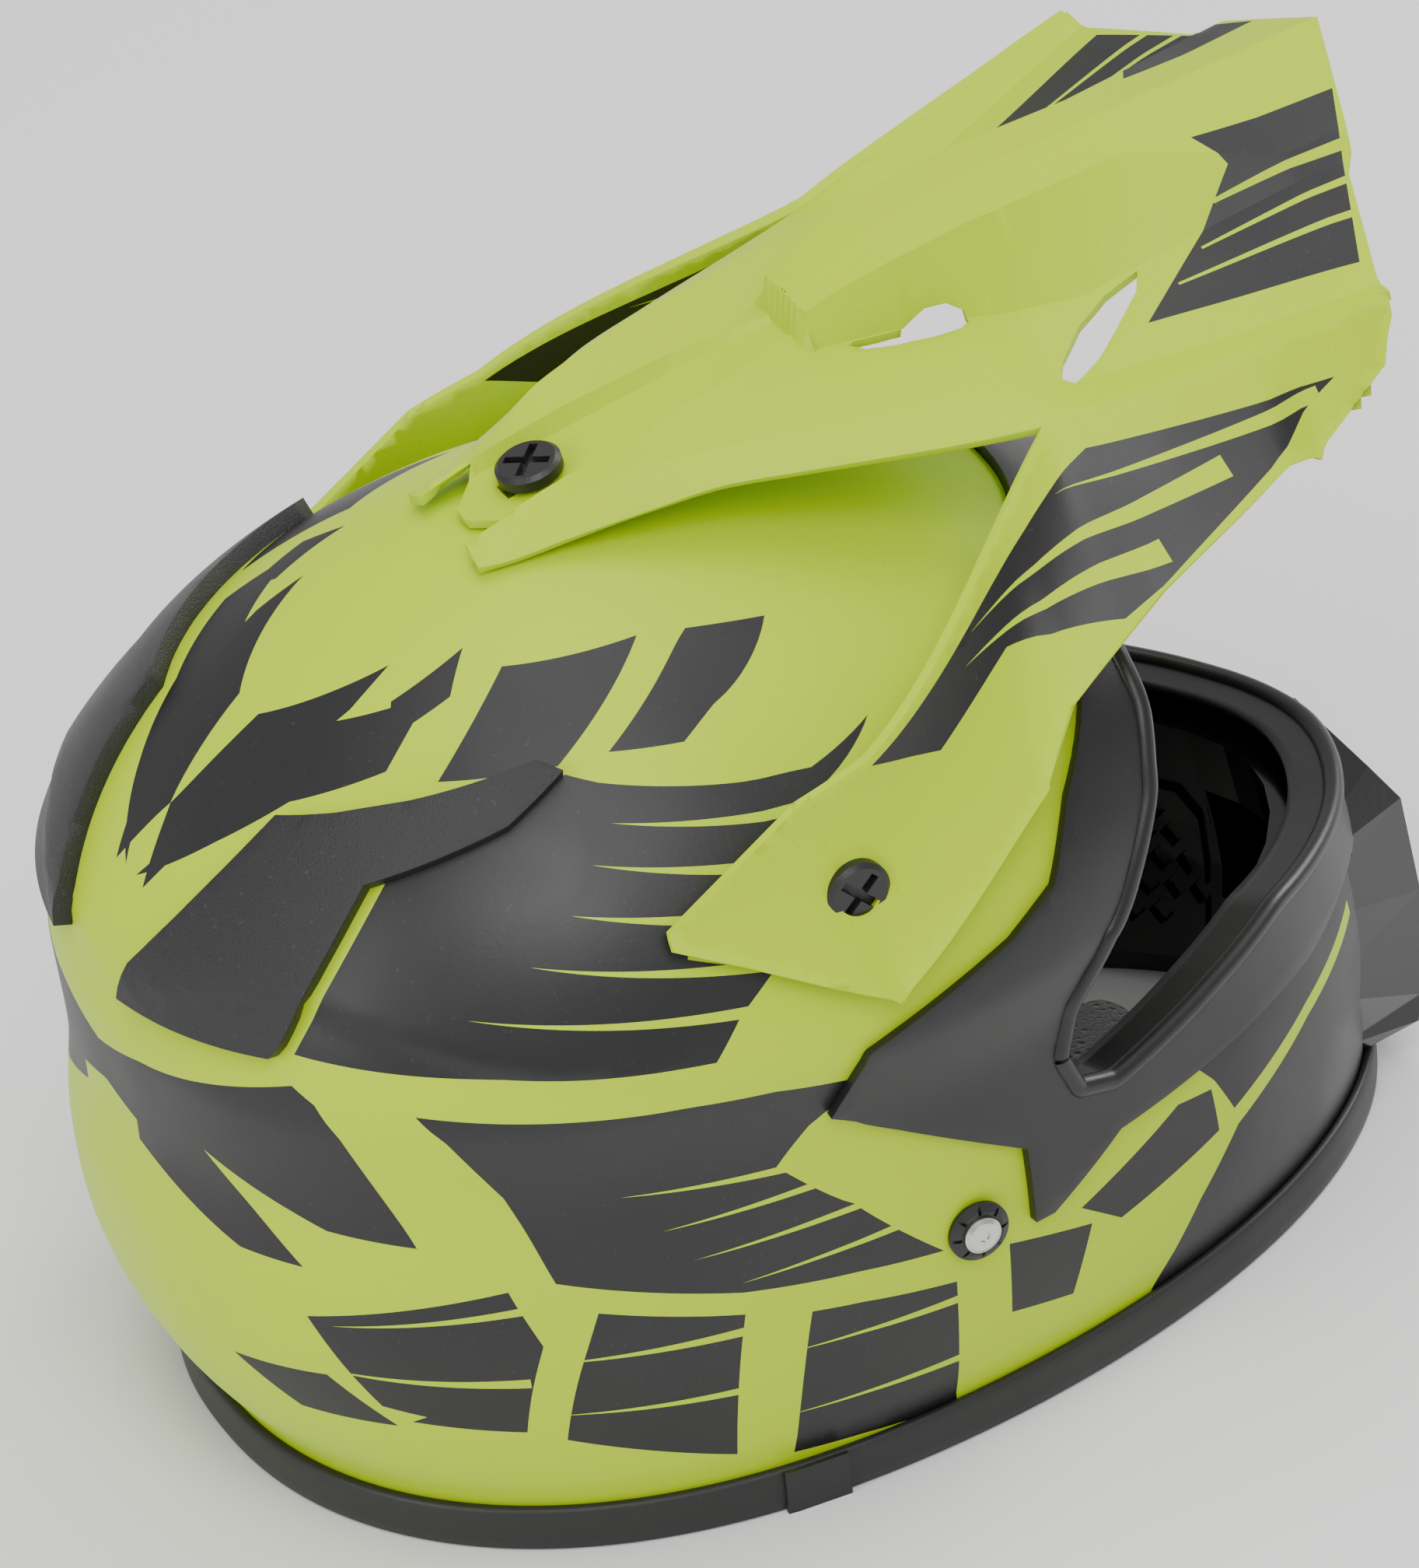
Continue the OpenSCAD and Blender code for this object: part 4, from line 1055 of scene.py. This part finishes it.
class HELMET_OT_stage(bpy.types.Operator):
    """A pale floor, soft lights and the camera"""
    bl_idname = "helmet.stage"
    bl_label = "Floor, lights and camera"

    def execute(self, context):
        scene = bpy.context.scene
        mesh = bpy.data.meshes.new("floor")
        corners = [(-1, -1), (1, -1), (1, 1), (-1, 1)]
        mesh.from_pydata([(FLOOR_HALF * x, FLOOR_HALF * y, 0) for x, y in corners], [], [(0, 1, 2, 3)])
        floor = bpy.data.objects.new("floor", mesh)
        scene.collection.objects.link(floor)
        m = bpy.data.materials.new("Pale floor")
        m.use_nodes = True
        p = m.node_tree.nodes["Principled BSDF"]
        p.inputs["Base Color"].default_value = (0.86, 0.86, 0.86, 1)
        p.inputs["Roughness"].default_value = 0.6
        mesh.materials.append(m)
        world = bpy.data.worlds.new("Studio")
        scene.world = world
        world.use_nodes = True
        world.node_tree.nodes["Background"].inputs[0].default_value = (1, 1, 1, 1)
        world.node_tree.nodes["Background"].inputs[1].default_value = looks().fill
        for name, at, size, power in LIGHTS:
            data = bpy.data.lights.new(name, "AREA")
            data.shape, data.size, data.energy = "DISK", size, power
            light = bpy.data.objects.new(name, data)
            light.location = at
            light.rotation_euler = (Vector(AIM) - Vector(at)).to_track_quat("-Z", "Y").to_euler()
            scene.collection.objects.link(light)
        camera()
        return {"FINISHED"}


EYE = (-2.2515, 0.9552, 1.7698)      # where the camera stands, m
VIEW_AZ, VIEW_EL, VIEW_ROLL = -113.5, 33.5, -6.0
LENS, SENSOR = 260.2, 36.0           # mm


def camera():
    """The camera looks along a direction given by its angles and is rolled about it."""
    a, e, r = (math.radians(v) for v in (VIEW_AZ, VIEW_EL, VIEW_ROLL))
    back = np.array([math.sin(a) * math.cos(e), -math.cos(a) * math.cos(e), math.sin(e)])
    right = np.cross([0, 0, 1.0], back)
    right /= np.linalg.norm(right)
    up = np.cross(back, right)
    right, up = math.cos(r) * right + math.sin(r) * up, -math.sin(r) * right + math.cos(r) * up
    data = bpy.data.cameras.new("camera")
    data.lens, data.sensor_width = LENS, SENSOR
    data.clip_end = 50
    obj = bpy.data.objects.new("camera", data)
    bpy.context.scene.collection.objects.link(obj)
    obj.matrix_world = Matrix([(right[i], up[i], back[i], EYE[i]) for i in range(3)] + [(0, 0, 0, 1)])
    bpy.context.scene.camera = obj


class HelmetLooks(bpy.types.PropertyGroup):
    """What a user would change"""
    yellow: FloatVectorProperty(name="Paint", description="Colour of the shell and peak", subtype="COLOR",
                                default=(0.47, 0.66, 0.0), min=0, max=1)
    black: FloatVectorProperty(name="Print", description="Colour of the printed shapes", subtype="COLOR",
                               default=(0.0085, 0.0085, 0.0095), min=0, max=1)
    fineness: FloatProperty(name="Fineness", description="Size of the shell's mesh in millimetres",
                            default=3.6, min=2, max=10)
    fill: FloatProperty(name="Fill light", description="Strength of the light from all round",
                        default=0.62, min=0, max=3)


STEPS = (HELMET_OT_shell, HELMET_OT_moulding, HELMET_OT_vents, HELMET_OT_peak, HELMET_OT_pads,
         HELMET_OT_edge, HELMET_OT_hardware, HELMET_OT_stage)


class HELMET_PT_panel(bpy.types.Panel):
    """The steps and the looks"""
    bl_idname = "HELMET_PT_panel"
    bl_label = "Helmet"
    bl_space_type = "VIEW_3D"
    bl_region_type = "UI"
    bl_category = "Helmet"

    def draw(self, context):
        for name in ("yellow", "black", "fineness", "fill"):
            self.layout.prop(context.scene.helmet_looks, name)
        for step in STEPS:
            self.layout.operator(step.bl_idname)


CLASSES = (HelmetLooks, *STEPS, HELMET_PT_panel)


def register():
    for c in CLASSES:
        bpy.utils.register_class(c)
    bpy.types.Scene.helmet_looks = PointerProperty(type=HelmetLooks)


def unregister():
    del bpy.types.Scene.helmet_looks
    for c in reversed(CLASSES):
        bpy.utils.unregister_class(c)


def main():
    register()
    for step in STEPS:
        group_name, name = step.bl_idname.split(".")
        getattr(getattr(bpy.ops, group_name), name)()


if __name__ == "__main__":
    main()
